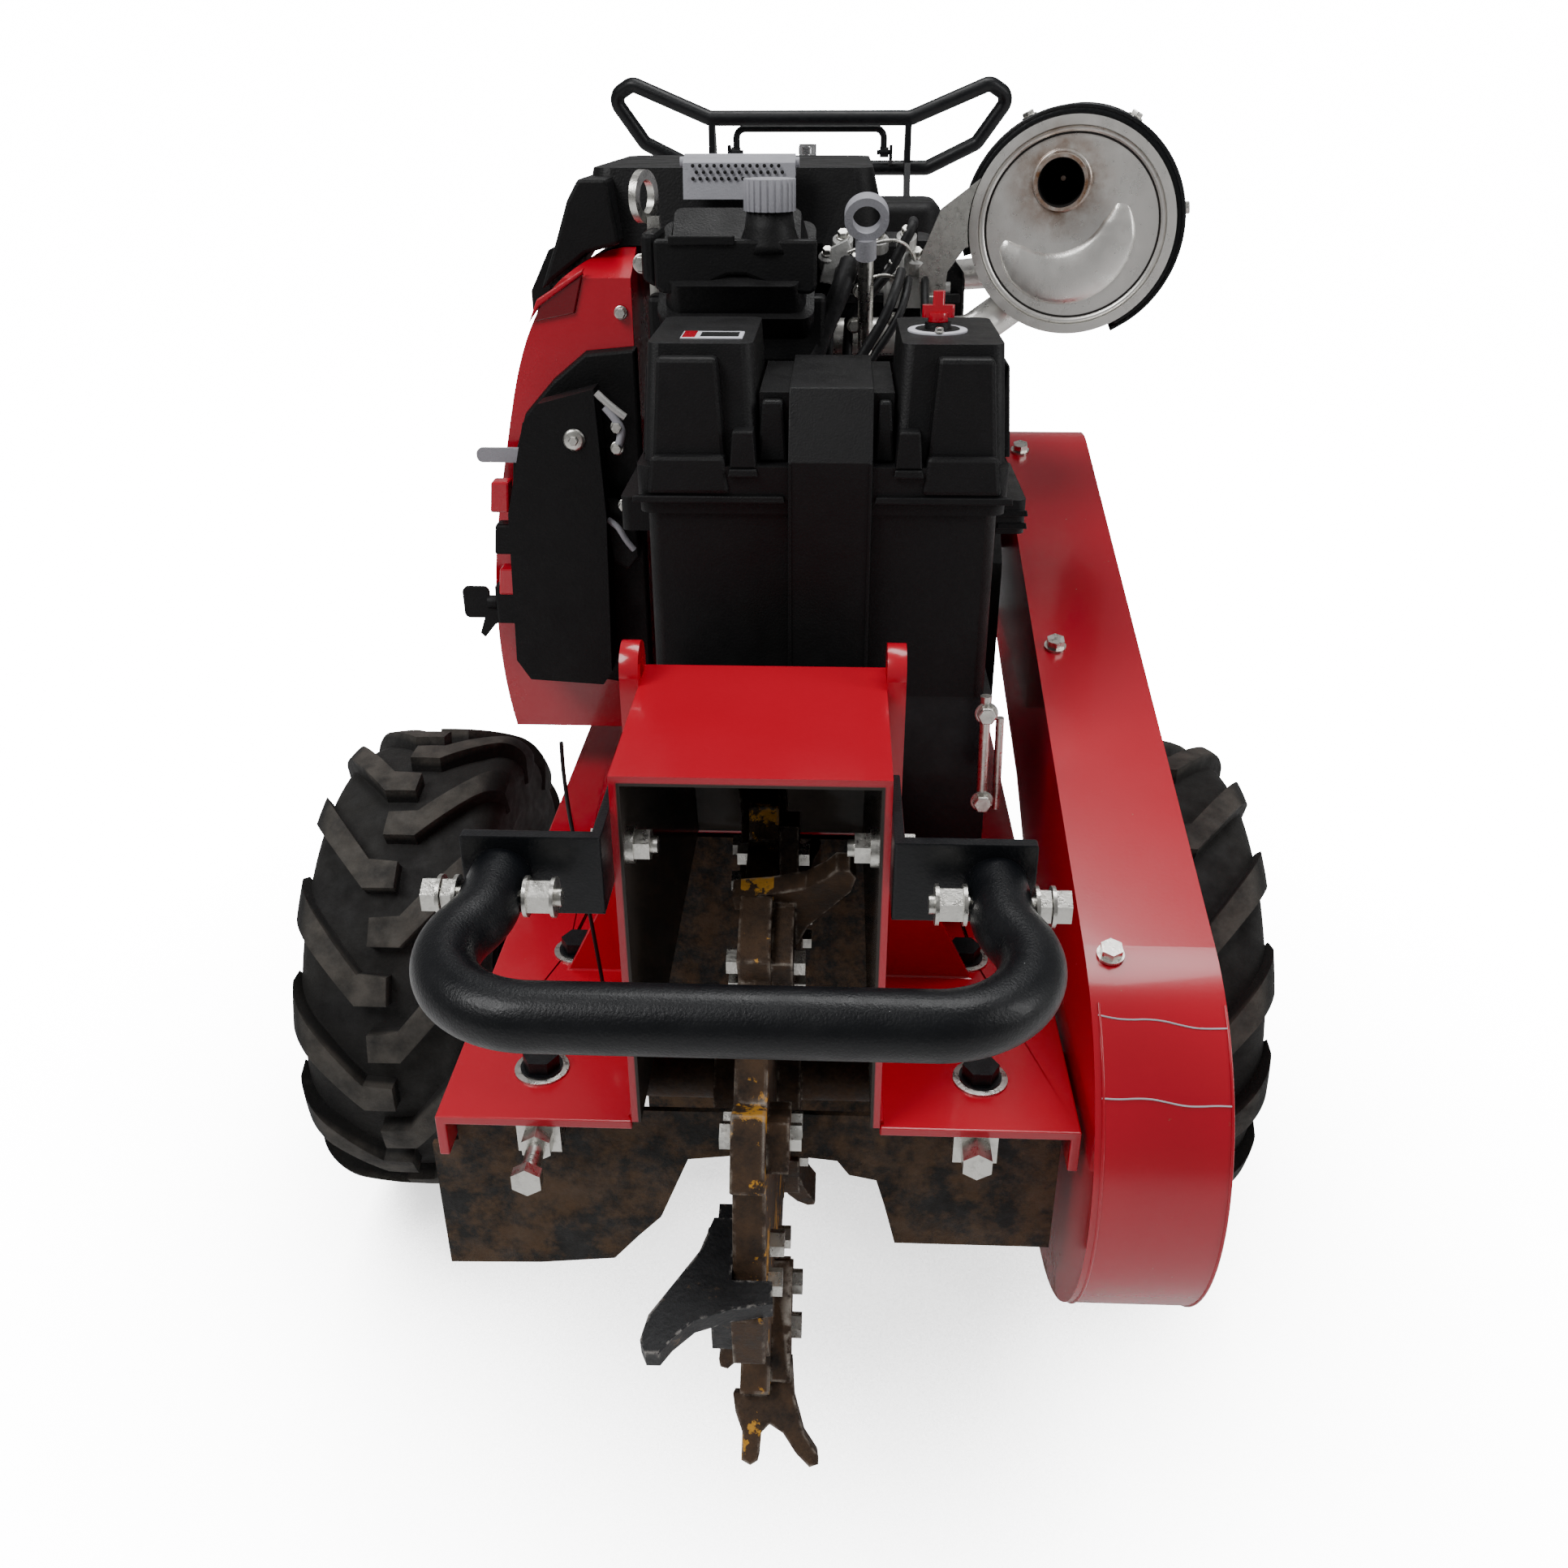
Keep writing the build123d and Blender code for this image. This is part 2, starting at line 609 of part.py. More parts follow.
SLOPE = tangent_angle(ROTOR, GUARD_FRONT_R, GUARD_REAR, GUARD_REAR_R, 1)
INTO = (0, -cos(radians(SLOPE)), -sin(radians(SLOPE)))
RUN_START = on_circle(ROTOR, GUARD_FRONT_R, SLOPE)
GUARD_BOLTS = [(224, RUN_START[0] + run * sin(radians(SLOPE)),
                RUN_START[1] - run * cos(radians(SLOPE))) for run in (-8, 314, 630)]

with BuildPart() as guard_bolts:
    for place in GUARD_BOLTS:
        add(bolt(place, INTO, 4, 14, 13, 6))
save(guard_bolts.part, "guard_bolts")

with BuildPart() as belt_guard:
    extrude(guard_face(0).moved(Location((GUARD_X0 + 4, 0, 0))), amount=GUARD_X1 - GUARD_X0 - 4)
    extrude(guard_face(GUARD_T).moved(Location((GUARD_X0 + 3, 0, 0))),
            amount=GUARD_X1 - GUARD_X0 - 3 - GUARD_T, mode=Mode.SUBTRACT)
    for place in GUARD_BOLTS:
        add(rod(tuple(p - 2 * d for p, d in zip(place, INTO)), INTO, 4.1, 12),
            mode=Mode.SUBTRACT)
save(belt_guard.part, "belt_guard")

with BuildPart() as guard_back_plate:
    extrude(guard_face(0).moved(Location((GUARD_X0, 0, 0))), amount=4)
    add(rod((GUARD_X0 - 5, ROTOR[0], ROTOR[1]), (1, 0, 0), 30, 20), mode=Mode.SUBTRACT)
    add(rod((GUARD_X0 - 5, CRANK[0], CRANK[1]), (1, 0, 0), 30, 20), mode=Mode.SUBTRACT)
    add(rod((GUARD_X0 + 3, IDLER[0], IDLER[1]), (1, 0, 0), 8, 47))
    add(rod((GUARD_X0 + 3, IDLER[0], IDLER[1]), (1, 0, 0), 14, BELT_X0 - 5 - GUARD_X0 - GAP))
    add(prism((BELT_X1 + 3, IDLER[0], IDLER[1]), (1, 0, 0), 24, 8))
save(guard_back_plate.part, "guard_back_plate")


def sheave(centre, radius, bore, x0, x1):
    """A flanged belt pulley with a hub."""
    with BuildPart() as body:
        add(rod((x0, centre[0], centre[1]), (1, 0, 0), radius - GAP, x1 - x0))
        for flange_x in (x0 - 3, x1):
            add(rod((flange_x, centre[0], centre[1]), (1, 0, 0), radius + BELT_T, 3))
        add(rod((x0 - 8, centre[0], centre[1]), (1, 0, 0), bore + 9, x1 - x0 + 16))
        add(rod((x0 - 10, centre[0], centre[1]), (1, 0, 0), bore, x1 - x0 + 20),
            mode=Mode.SUBTRACT)
    return body.part


save(sheave(ROTOR, ROTOR_SHEAVE_R, SHAFT_R, BELT_X0 - GAP, BELT_X1 + GAP), "rotor_sheave")
with BuildPart() as engine_sheave:
    add(sheave(CRANK, ENGINE_SHEAVE_R, 15, BELT_X0 - GAP, BELT_X1 + GAP))
    add(rod((112 + GAP, CRANK[0], CRANK[1]), (1, 0, 0), 15, 148))
save(engine_sheave.part, "engine_sheave")

with BuildPart() as idler_pulley:
    add(rod((BELT_X0 - 2, IDLER[0], IDLER[1]), (1, 0, 0), IDLER_R - GAP, BELT_X1 - BELT_X0 + 4))
    add(rod((BELT_X0 - 4, IDLER[0], IDLER[1]), (1, 0, 0), 8.05, 40), mode=Mode.SUBTRACT)
save(idler_pulley.part, "idler_pulley")


def belt_face(out):
    """The belt's loop at a distance outside its inner face, round two sheaves and the idler."""
    big = ROTOR_SHEAVE_R + out
    small = ENGINE_SHEAVE_R + out
    press = IDLER_R + BELT_T - out
    top = tangent_angle(ROTOR, big, CRANK, small, 1)
    rise = tangent_angle(ROTOR, big, IDLER, -press, -1)
    run = tangent_angle(IDLER, press, CRANK, -small, 1)
    with BuildSketch(Plane.YZ) as face:
        with BuildLine():
            Line(on_circle(ROTOR, big, top), on_circle(CRANK, small, top))
            ThreePointArc(on_circle(CRANK, small, top), on_circle(CRANK, small, top - 90),
                          on_circle(CRANK, small, run - 180))
            Line(on_circle(CRANK, small, run - 180), on_circle(IDLER, press, run))
            ThreePointArc(on_circle(IDLER, press, run),
                          on_circle(IDLER, press, (run + rise + 180) / 2),
                          on_circle(IDLER, press, rise + 180))
            Line(on_circle(IDLER, press, rise + 180), on_circle(ROTOR, big, rise))
            ThreePointArc(on_circle(ROTOR, big, rise), on_circle(ROTOR, big, 180),
                          on_circle(ROTOR, big, top))
        make_face()
    return face.sketch


with BuildPart() as drive_belt:
    extrude(belt_face(BELT_T).moved(Location((BELT_X0, 0, 0))), amount=BELT_X1 - BELT_X0)
    extrude(belt_face(0).moved(Location((BELT_X0, 0, 0))), amount=BELT_X1 - BELT_X0,
            mode=Mode.SUBTRACT)
save(drive_belt.part, "drive_belt")

# ---------------------------------------------------------------- battery
with BuildPart() as battery_tray:
    x = (BATTERY_X[0] - 6, BATTERY_X[1] + 6)
    y = (BATTERY_Y[0] + 2, BATTERY_Y[1] + 6)
    base = BATTERY_Z - 4
    add(block(x, y, (base, BATTERY_Z)))
    add(block((HOOD_HALF + 8, x[1]), (y[0], y[0] + 4), (DECK_TOP, base)))
    for side_x in (-HOOD_HALF - 10, x[1] - 4):
        add(block((side_x, side_x + 4), (y[0] + 4, y[1]), (DECK_TOP, base)))
save(battery_tray.part, "battery_tray")

with BuildPart() as battery_box:
    add(block(BATTERY_X, BATTERY_Y, (BATTERY_Z, LIP_Z - 10), 8))
    add(block((BATTERY_X[0] - 5, BATTERY_X[1] + 5), (BATTERY_Y[0] - 3, BATTERY_Y[1] + 3),
              (LIP_Z - 10, LIP_Z), 10))
    for low, high in ((BATTERY_X[0] - 24, BATTERY_X[0] + 2), (BATTERY_X[1] - 2, BATTERY_X[1] + 24)):
        add(block((low, high), (-330, -220), (734, LIP_Z - 10), 6))
save(battery_box.part, "battery_box")

TOWERS = ((-86, -8), (82, 157))
SADDLE = (-8, 82)
KEY = (112, -290)                # the battery isolator on the right tower
with BuildPart() as battery_lid:
    add(block((-90, 159), (-370, -172), (LIP_Z, LIP_Z + 22), 10))
    for tower in TOWERS:
        with BuildSketch(Plane.XY.offset(LIP_Z + 22)) as foot:
            with Locations(((tower[0] + tower[1]) / 2, -290)):
                RectangleRounded(tower[1] - tower[0], 136, 8)
        with BuildSketch(Plane.XY.offset(TOWER_TOP)) as head:
            with Locations(((tower[0] + tower[1]) / 2, -287)):
                RectangleRounded(tower[1] - tower[0] - 8, 118, 8)
        loft(sections=[foot.sketch, head.sketch])
    add(block(SADDLE, (-346, -230), (LIP_Z + 22, 834)))
    add(rod((KEY[0], KEY[1], TOWER_TOP - 1), (0, 0, 1), 15, 3))
    add(rod((KEY[0], KEY[1], TOWER_TOP + 1), (0, 0, 1), 9, 5))
save(battery_lid.part, "battery_lid")

with BuildPart() as battery_strap:
    with BuildSketch(Plane.YZ.offset(12)):
        with BuildLine():
            Polyline((-374, BATTERY_Z), (-374, 794), (-350, 838), (-226, 838), (-168, 794),
                     (-168, BATTERY_Z), (-171, BATTERY_Z), (-171, 792), (-228, 835),
                     (-348, 835), (-371, 792), (-371, BATTERY_Z), close=True)
        make_face()
    extrude(amount=56)
save(battery_strap.part, "battery_strap")

with BuildPart() as isolator_key:
    add(rod((KEY[0], KEY[1], TOWER_TOP + 6 + GAP), (0, 0, 1), 7, 6))
    add(block((KEY[0] - 11, KEY[0] + 11), (KEY[1] - 3, KEY[1] + 3),
              (TOWER_TOP + 9, TOWER_TOP + 17), 2.5))
    add(block((KEY[0] - 4, KEY[0] + 4), (KEY[1] - 3, KEY[1] + 3),
              (TOWER_TOP + 12, TOWER_TOP + 26), 2.5))
save(isolator_key.part, "isolator_key")

# ---------------------------------------------------------------- engine
FRONT_X = -35                    # centre of the front cylinder
REAR_X = 10


def bank_plane(lean, x, radius):
    """The plane square to a cylinder bank, at a distance from the crank; lean -1 is the front."""
    angle = radians(BANK_ANGLE)
    direction = (0, lean * sin(angle), cos(angle))
    origin = (x, CRANK[0] + direction[1] * radius, CRANK[1] + direction[2] * radius)
    return Plane(origin=origin, x_dir=(1, 0, 0), z_dir=direction)


with BuildPart() as crankcase:
    add(side_plate([(-40, ENGINE_BASE), (200, ENGINE_BASE), (215, 560), (215, 640), (150, 720),
                    (10, 720), (-55, 640), (-55, 560)], -116, 108))
    for lean in (-1, 1):
        with BuildSketch(bank_plane(lean, 0, 96)):
            Rectangle(300, 112)
        extrude(amount=200, mode=Mode.SUBTRACT)
    add(side_plate([(-106, 500), (190, 500), (190, 690), (-20, 700), (-106, 640)], 107, 192))
    add(side_plate([(-100, 499), (184, 499), (184, 684), (-18, 694), (-100, 636)], 113, 186),
        mode=Mode.SUBTRACT)
    add(rod((106, CRANK[0], CRANK[1]), (1, 0, 0), 22, 90), mode=Mode.SUBTRACT)
    add(rod((-30, -70, 556), (1, 0, 0), 38, 120))
save(crankcase.part, "crankcase")

with BuildPart() as cylinders:
    for lean, x in ((-1, FRONT_X), (1, REAR_X)):
        with BuildSketch(bank_plane(lean, x, 96)):
            RectangleRounded(92, 84, 14)
        extrude(amount=160)
        for fin in range(12):
            with BuildSketch(bank_plane(lean, x, 118 + 11 * fin)):
                RectangleRounded(118, 96, 10)
            extrude(amount=3)
        with BuildSketch(bank_plane(lean, x, 254)):
            RectangleRounded(116, 96, 8)
        extrude(amount=84)
save(cylinders.part, "cylinders")

OIL_NECK = (-9, -172)
with BuildPart() as head_covers:
    for lean, x in ((-1, FRONT_X), (1, REAR_X)):
        with BuildSketch(bank_plane(lean, x, 338)):
            RectangleRounded(120, 98, 10)
        extrude(amount=24)
        with BuildSketch(bank_plane(lean, x, 361)):
            RectangleRounded(108, 88, 12)
        extrude(amount=24, taper=12)
    add(rod((OIL_NECK[0], OIL_NECK[1], 880), (0, 0, 1), 15, 52))
save(head_covers.part, "head_covers")

with BuildPart() as oil_cap:
    with BuildSketch(Plane.XY.offset(932 + GAP)):
        with Locations(OIL_NECK):
            Circle(19.5)
            with PolarLocations(19.8, 24):
                Circle(1.5, mode=Mode.SUBTRACT)
    extrude(amount=22)
save(oil_cap.part, "oil_cap")

STICK_FOOT = (70, -66, 650)
STICK_TOP = (63.64, -167.76, 899.1)
STICK_LENGTH = sqrt(sum((b - a) ** 2 for a, b in zip(STICK_FOOT, STICK_TOP)))
STICK_DIR = tuple((b - a) / STICK_LENGTH for a, b in zip(STICK_FOOT, STICK_TOP))


def along_stick(distance):
    return tuple(a + d * distance for a, d in zip(STICK_FOOT, STICK_DIR))


with BuildPart() as dipstick_tube:
    add(ring(along_stick(0), STICK_DIR, 6, 3.5, STICK_LENGTH))
    add(block((56, 84), (-74, -55), (630, 656)))
    add(rod(along_stick(5), STICK_DIR, 3.5, STICK_LENGTH), mode=Mode.SUBTRACT)
save(dipstick_tube.part, "dipstick_tube")

with BuildPart() as dipstick:
    add(rod(along_stick(30), STICK_DIR, 2.5, STICK_LENGTH - 26))
    add(rod(along_stick(STICK_LENGTH + GAP), STICK_DIR, 8, 16))
    with BuildSketch(Plane(origin=along_stick(STICK_LENGTH + 12), x_dir=(1, 0, 0),
                           z_dir=(0, -STICK_DIR[2], STICK_DIR[1]))):
        with Locations((0, 20)):
            Circle(16.5)
            Circle(10.5, mode=Mode.SUBTRACT)
    extrude(amount=5, both=True)
save(dipstick.part, "dipstick")

FAN_X = -122                     # inner face of the cover
FAN_OUTLINE = [(-132, 487), (284, 487), (292, 740), (225, 880), (160, 900), (-90, 900),
               (-132, 880)]
with BuildPart() as fan_cover:
    with BuildSketch(Plane.XZ.offset(140)):
        with BuildLine() as front:
            Spline((FAN_X, 899), (-150, 895), (-184, 873), (-210, 832), (-232, 756), (-250, 672),
                   (-258, 590), (-250, 487))
            Polyline((-250, 487), (FAN_X, 487), (FAN_X, 899))
        make_face()
    extrude(amount=-440)
    with BuildSketch(Plane.YZ.offset(-300)):
        with BuildLine():
            Polyline(*FAN_OUTLINE, close=True)
        make_face()
    extrude(amount=200, mode=Mode.INTERSECT)
    add(rod((-262, CRANK[0], 650), (1, 0, 0), 105, 24), mode=Mode.SUBTRACT)
save(fan_cover.part, "fan_cover")

PANEL_Y = (-176, -150)
with BuildPart() as engine_panel:
    with BuildSketch(Plane.XZ.offset(-PANEL_Y[0])):
        with BuildLine():
            Polyline((-209, 775), (-196, 790), (-150, 802), (-146, 700), (-150, 560),
                     (-158, 548), (-222, 552), (-233, 570), (-228, 700), close=True)
        make_face()
    extrude(amount=PANEL_Y[0] - PANEL_Y[1])
    add(block((-222, -160), (PANEL_Y[1] - 1, -133), (600, 690)))
    add(rod((-190, PANEL_Y[1] - 1, 743), (0, 1, 0), 4, 8))
    add(block((-248, -226), (-170, -152), (602, 634), 3))
save(engine_panel.part, "engine_panel")

with BuildPart() as throttle_lever:
    with BuildSketch(Plane.XZ.offset(147)):
        with Locations((-190, 743)):
            Circle(11)
            Circle(4.05, mode=Mode.SUBTRACT)
        with Locations((-228, 742)):
            RectangleRounded(58, 12, 5)
    extrude(amount=-4)
save(throttle_lever.part, "throttle_lever")

KEY_SWITCH = (-248, -161, 618)
with BuildPart() as ignition_key:
    add(rod((KEY_SWITCH[0] - GAP, KEY_SWITCH[1], KEY_SWITCH[2]), (-1, 0, 0), 6, 8))
    add(block((KEY_SWITCH[0] - 30, KEY_SWITCH[0] - 7), (KEY_SWITCH[1] - 2, KEY_SWITCH[1] + 2),
              (KEY_SWITCH[2] - 14, KEY_SWITCH[2] + 14)))
    fillet(ignition_key.edges().filter_by(Axis.Y), 5)
save(ignition_key.part, "ignition_key")

AIR_Z = (900, 957)
with BuildPart() as air_cleaner:
    with BuildSketch(Plane.XY.offset(AIR_Z[0])):
        with Locations((-44, 39)):
            RectangleRounded(256, 262, 30)
    extrude(amount=AIR_Z[1] - AIR_Z[0], taper=14)
    add(block((-100, 76), (-40, 190), (720, AIR_Z[0] + 1), 10))
    with BuildSketch(Plane.XZ.offset(84)):
        with BuildLine():
            Polyline((-150, 906), (-196, 896), (-213, 864), (-213, 846), (-184, 884),
                     (-150, 901), close=True)
        make_face()
    extrude(amount=-190)
    for lean, x in ((-1, FRONT_X), (1, REAR_X)):
        with BuildSketch(bank_plane(lean, x, 90)):
            Rectangle(130, 110)
        extrude(amount=340, mode=Mode.SUBTRACT)
save(air_cleaner.part, "air_cleaner")

LATCH_AXIS = (-98, 962)
with BuildPart() as air_cleaner_latch:
    with BuildSketch(Plane.YZ.offset(-80)):
        with BuildLine():
            Polyline((-92.6, 968), (-108, 962), (-112, 936), (-106, 936), (-102, 952),
                     (-92.6, 952), close=True)
        make_face()
    extrude(amount=88)
    add(rod((-83, LATCH_AXIS[0], LATCH_AXIS[1]), (1, 0, 0), 4, 94))
save(air_cleaner_latch.part, "air_cleaner_latch")

with BuildPart() as carburettor:
    add(block((80, 126), (-118, -72), (856, 880), 5))
    add(rod((103, -95, 878), (0, 0, 1), 15, 20))
    add(rod((74, -95, 868), (1, 0, 0), 6, 60))
    add(block((76, 130), (-72, -40), (850, 890), 4))
save(carburettor.part, "carburettor")



def yawed(part):
    """Turn a part of the exhaust about the upright line through the front of its drum."""
    return part.rotate(Axis((MUFFLER[0], MUFFLER_Y[0], 0), (0, 0, 1)), -MUFFLER_YAW)


with BuildPart() as engine_brackets:
    with BuildSketch(Plane.XZ.offset(124)):
        with BuildLine():
            Polyline((110, 846), (126, 846), (129, 884), (142, 902), (165, 906), (165, 950),
                     (152, 952), (122, 930), (106, 892), close=True)
        make_face()
    extrude(amount=-4)
    add(yawed(rod((MUFFLER[0], -150, MUFFLER[1]), (0, 1, 0), MUFFLER_R + 3.2, 80)),
        mode=Mode.SUBTRACT)
    add(ring((-110, -141, 940), (0.94, -0.34, 0), 19, 12, 6))
    add(block((-105, -95.5), (-146, -137), (862, 926)))
save(engine_brackets.part, "engine_brackets")

with BuildPart() as muffler:
    y0, y1 = MUFFLER_Y
    centre = (MUFFLER[0], 0, MUFFLER[1])
    add(rod((centre[0], y0 + 5, centre[2]), (0, 1, 0), MUFFLER_R, y1 - y0 - 10))
    for rim_y in (y0, y1 - 7):
        add(ring((centre[0], rim_y, centre[2]), (0, 1, 0), MUFFLER_R + 3, MUFFLER_R - 4, 7))
    add(ring((centre[0] - 10, y0 - 22, centre[2] + 33), (0, 1, 0), 20, 17.5, 34))
    add(rod((centre[0] - 10, y0 - 23, centre[2] + 33), (0, 1, 0), 17.5, 60), mode=Mode.SUBTRACT)
    for angle in (-40, 40, 130):
        foot = on_circle(MUFFLER, MUFFLER_R - 1, angle)
        outward = (cos(radians(angle)), 0, sin(radians(angle)))
        for stud_y in (-80, 60):
            add(rod((foot[0], stud_y, foot[1]), outward, 7, 8.6))
save(yawed(muffler.part), "muffler")

with BuildPart() as heat_shield:
    with BuildSketch(Plane.XZ.offset(110)):
        with Locations(MUFFLER):
            Circle(MUFFLER_R + 9.5)
            Circle(MUFFLER_R + 8, mode=Mode.SUBTRACT)
            with Locations(Rotation(0, 0, 215)):
                with Locations((90, 0)):
                    Rectangle(180, 180, mode=Mode.SUBTRACT)
    extrude(amount=-190)
save(yawed(heat_shield.part), "heat_shield")

with BuildPart() as exhaust_pipes:
    add(tube([(24, -112, 832), (150, -108, 834), (196, -84, 862)], 26, 15, 13))
    add(tube([(69, 262, 836), (150, 262, 836), (234, 72, 866)], 40, 15, 13))
    add(block((23, 30), (-134, -90), (811, 853)))
    add(block((68, 75), (240, 284), (815, 857)))
    add(yawed(rod((MUFFLER[0], -200, MUFFLER[1]), (0, 1, 0), MUFFLER_R + 0.1, 400)),
        mode=Mode.SUBTRACT)
    add(yawed(rod((MUFFLER[0], 90, MUFFLER[1]), (0, 1, 0), MUFFLER_R + 3.2, 60)),
        mode=Mode.SUBTRACT)
save(exhaust_pipes.part, "exhaust_pipes")

with BuildPart() as starter_cables:
    add(tube([(36, -160, 740), (36, -160, 850), (44, -150, 886), (44, -108, 886),
              (44, -96, 862)], 10, 4))
    add(tube([(50, -160, 740), (50, -146, 800), (52, -136, 850), (84, -129, 886),
              (100, -127, 918), (102, -98, 920), (102, -97, 899)], 8, 4))
save(starter_cables.part, "starter_cables")

# ---------------------------------------------------------------- fuel tank
FUEL_CAP = (-92, 438)
with BuildPart() as fuel_tank:
    add(block((-157, 157), TANK_Y, TANK_Z, 22))
    fillet(fuel_tank.edges().group_by(Axis.Z)[-1], 12)
    add(rod((FUEL_CAP[0], FUEL_CAP[1], TANK_Z[1] - 2), (0, 0, 1), 24, 9))
save(fuel_tank.part, "fuel_tank")

with BuildPart() as fuel_cap:
    with BuildSketch(Plane.XY.offset(TANK_Z[1] + 7 + GAP)):
        with Locations(FUEL_CAP):
            Circle(32)
            with PolarLocations(33, 12):
                Circle(4, mode=Mode.SUBTRACT)
    extrude(amount=18)
save(fuel_cap.part, "fuel_cap")

# ---------------------------------------------------------------- handlebar and controls
BAIL_AXIS = (757, 937)
LEVER_AXIS = (700, 850)
with BuildPart() as handlebar:
    half = [(134, BAR_Y - 29, BAR_TOP_Z), (238, BAR_Y - 20, 1020), (266, BAR_Y - 12, 1004),
            (226, BAR_Y - 4, 948), (160, BAR_Y, BAR_LOW_Z)]
    other = [(-x, y, z) for x, y, z in reversed(half)]
    with BuildLine() as loop:
        FilletPolyline(*half, *other, radius=14, close=True)
    with BuildSketch(Plane(origin=loop.line @ 0, z_dir=loop.line % 0)):
        Circle(BAR_R)
    sweep()
    for side in (-1, 1):
        low = min(side * 128, side * 136)
        add(side_plate([(290, 436), (350, 436), (520, 540), (560, 590), (756, 902),
                        (780, BAR_LOW_Z - 4), (780, BAR_LOW_Z + 4), (752, BAR_TOP_Z + 4),
                        (734, BAR_TOP_Z + 4), (734, 925), (530, 600), (500, 565),
                        (340, 465), (290, 460)], low, low + 8))
        tab = min(side * 108, side * 112)
        add(side_plate([(BAIL_AXIS[0] - 8, 928), (BAR_Y, 914), (BAR_Y, 930),
                        (BAIL_AXIS[0] + 6, 946), (BAIL_AXIS[0] - 8, 946)], tab, tab + 4))
        add(rod((side * 109, BAIL_AXIS[0], BAIL_AXIS[1]), (-side, 0, 0), 3, 18))
    add(rod((-130, LEVER_AXIS[0], LEVER_AXIS[1]), (1, 0, 0), 9, 260))
save(handlebar.part, "handlebar")

with BuildPart() as bail_bar:
    add(tube([(-100, 757, BAIL_AXIS[1] + 4), (-100, 757, 966), (100, 757, 966),
              (100, 757, BAIL_AXIS[1] + 4)], 12, 4.5))
    for side in (-1, 1):
        add(rod((side * 95, BAIL_AXIS[0], BAIL_AXIS[1]), (side, 0, 0), 6.5, 12))
        add(rod((side * 90, BAIL_AXIS[0], BAIL_AXIS[1]), (side, 0, 0), 3.05, 30),
            mode=Mode.SUBTRACT)
save(bail_bar.part, "bail_bar")

with BuildPart() as drive_lever:
    add(rod((52, LEVER_AXIS[0], LEVER_AXIS[1]), (1, 0, 0), 15, 18))
    add(rod((61, LEVER_AXIS[0], LEVER_AXIS[1] + 12), (0, 0, 1), 4, 44))
    with Locations((61, LEVER_AXIS[0], LEVER_AXIS[1] + 56)):
        Sphere(10)
    add(rod((50, LEVER_AXIS[0], LEVER_AXIS[1]), (1, 0, 0), 9.05, 22), mode=Mode.SUBTRACT)
save(drive_lever.part, "drive_lever")

# ---------------------------------------------------------------- rear jack and caster
LEG_HALF = 26 - GAP
with BuildPart() as jack_leg:
    add(block((-LEG_HALF, LEG_HALF), (JACK_Y - LEG_HALF, JACK_Y + LEG_HALF), (222, 560)))
    add(block((-32, 32), (JACK_Y - 32, JACK_Y + 32), (222, 230)))
    add(rod((0, JACK_Y, 220), (0, 0, 1), 10.05, 40), mode=Mode.SUBTRACT)
    add(rod((0, JACK_Y, 500), (0, 0, 1), 8.4, 70), mode=Mode.SUBTRACT)
save(jack_leg.part, "jack_leg")

with BuildPart() as jack_crank:
    add(rod((0, JACK_Y, 650 + GAP), (0, 0, 1), 14, 14))
    add(rod((0, JACK_Y, 660), (0, 0, 1), 8, 292))
    add(block((-9, 9), (JACK_Y - 10, JACK_Y + 100), (943, 951), 6))
    add(rod((0, JACK_Y + 90, 951), (0, 0, -1), 11, 26))
save(jack_crank.part, "jack_crank")

CASTER_AXLE = (JACK_Y + TRAIL, CASTER_R)
with BuildPart() as caster_fork:
    add(block((-32, 32), (JACK_Y - 30, JACK_Y + 45), (213.7, 221.7)))
    add(rod((0, JACK_Y, 215), (0, 0, 1), 10, 38))
    for side in (-1, 1):
        low = min(side * 26, side * 32)
        add(side_plate([(JACK_Y - 26, 214), (JACK_Y + 45, 214), (CASTER_AXLE[0] + 16, 100),
                        (CASTER_AXLE[0] + 10, 84), (CASTER_AXLE[0] - 10, 84),
                        (CASTER_AXLE[0] - 16, 100)], low, low + 6))
        add(prism((side * 32, CASTER_AXLE[0], CASTER_AXLE[1]), (side, 0, 0), 19, 9))
    add(rod((-32, CASTER_AXLE[0], CASTER_AXLE[1]), (1, 0, 0), 6, 64))
save(caster_fork.part, "caster_fork")

with BuildPart() as caster_tyre:
    with BuildSketch(Plane.XY):
        with Locations((0, 82)):
            RectangleRounded(44, 36, 12)
    revolve(axis=Axis.X)
save(caster_tyre.part.moved(Location((0, CASTER_AXLE[0], CASTER_AXLE[1]))), "caster_tyre")

with BuildPart() as caster_rim:
    with BuildSketch(Plane.XY):
        with BuildLine():
            Polyline((-25.5, 6.05), (25.5, 6.05), (25.5, 16), (6, 18), (6, 56), (20, 60),
                     (20, 64), (-20, 64), (-20, 60), (-6, 56), (-6, 18), (-25.5, 16), close=True)
        make_face()
    revolve(axis=Axis.X)
save(caster_rim.part.moved(Location((0, CASTER_AXLE[0], CASTER_AXLE[1]))), "caster_rim")
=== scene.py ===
import json
import math

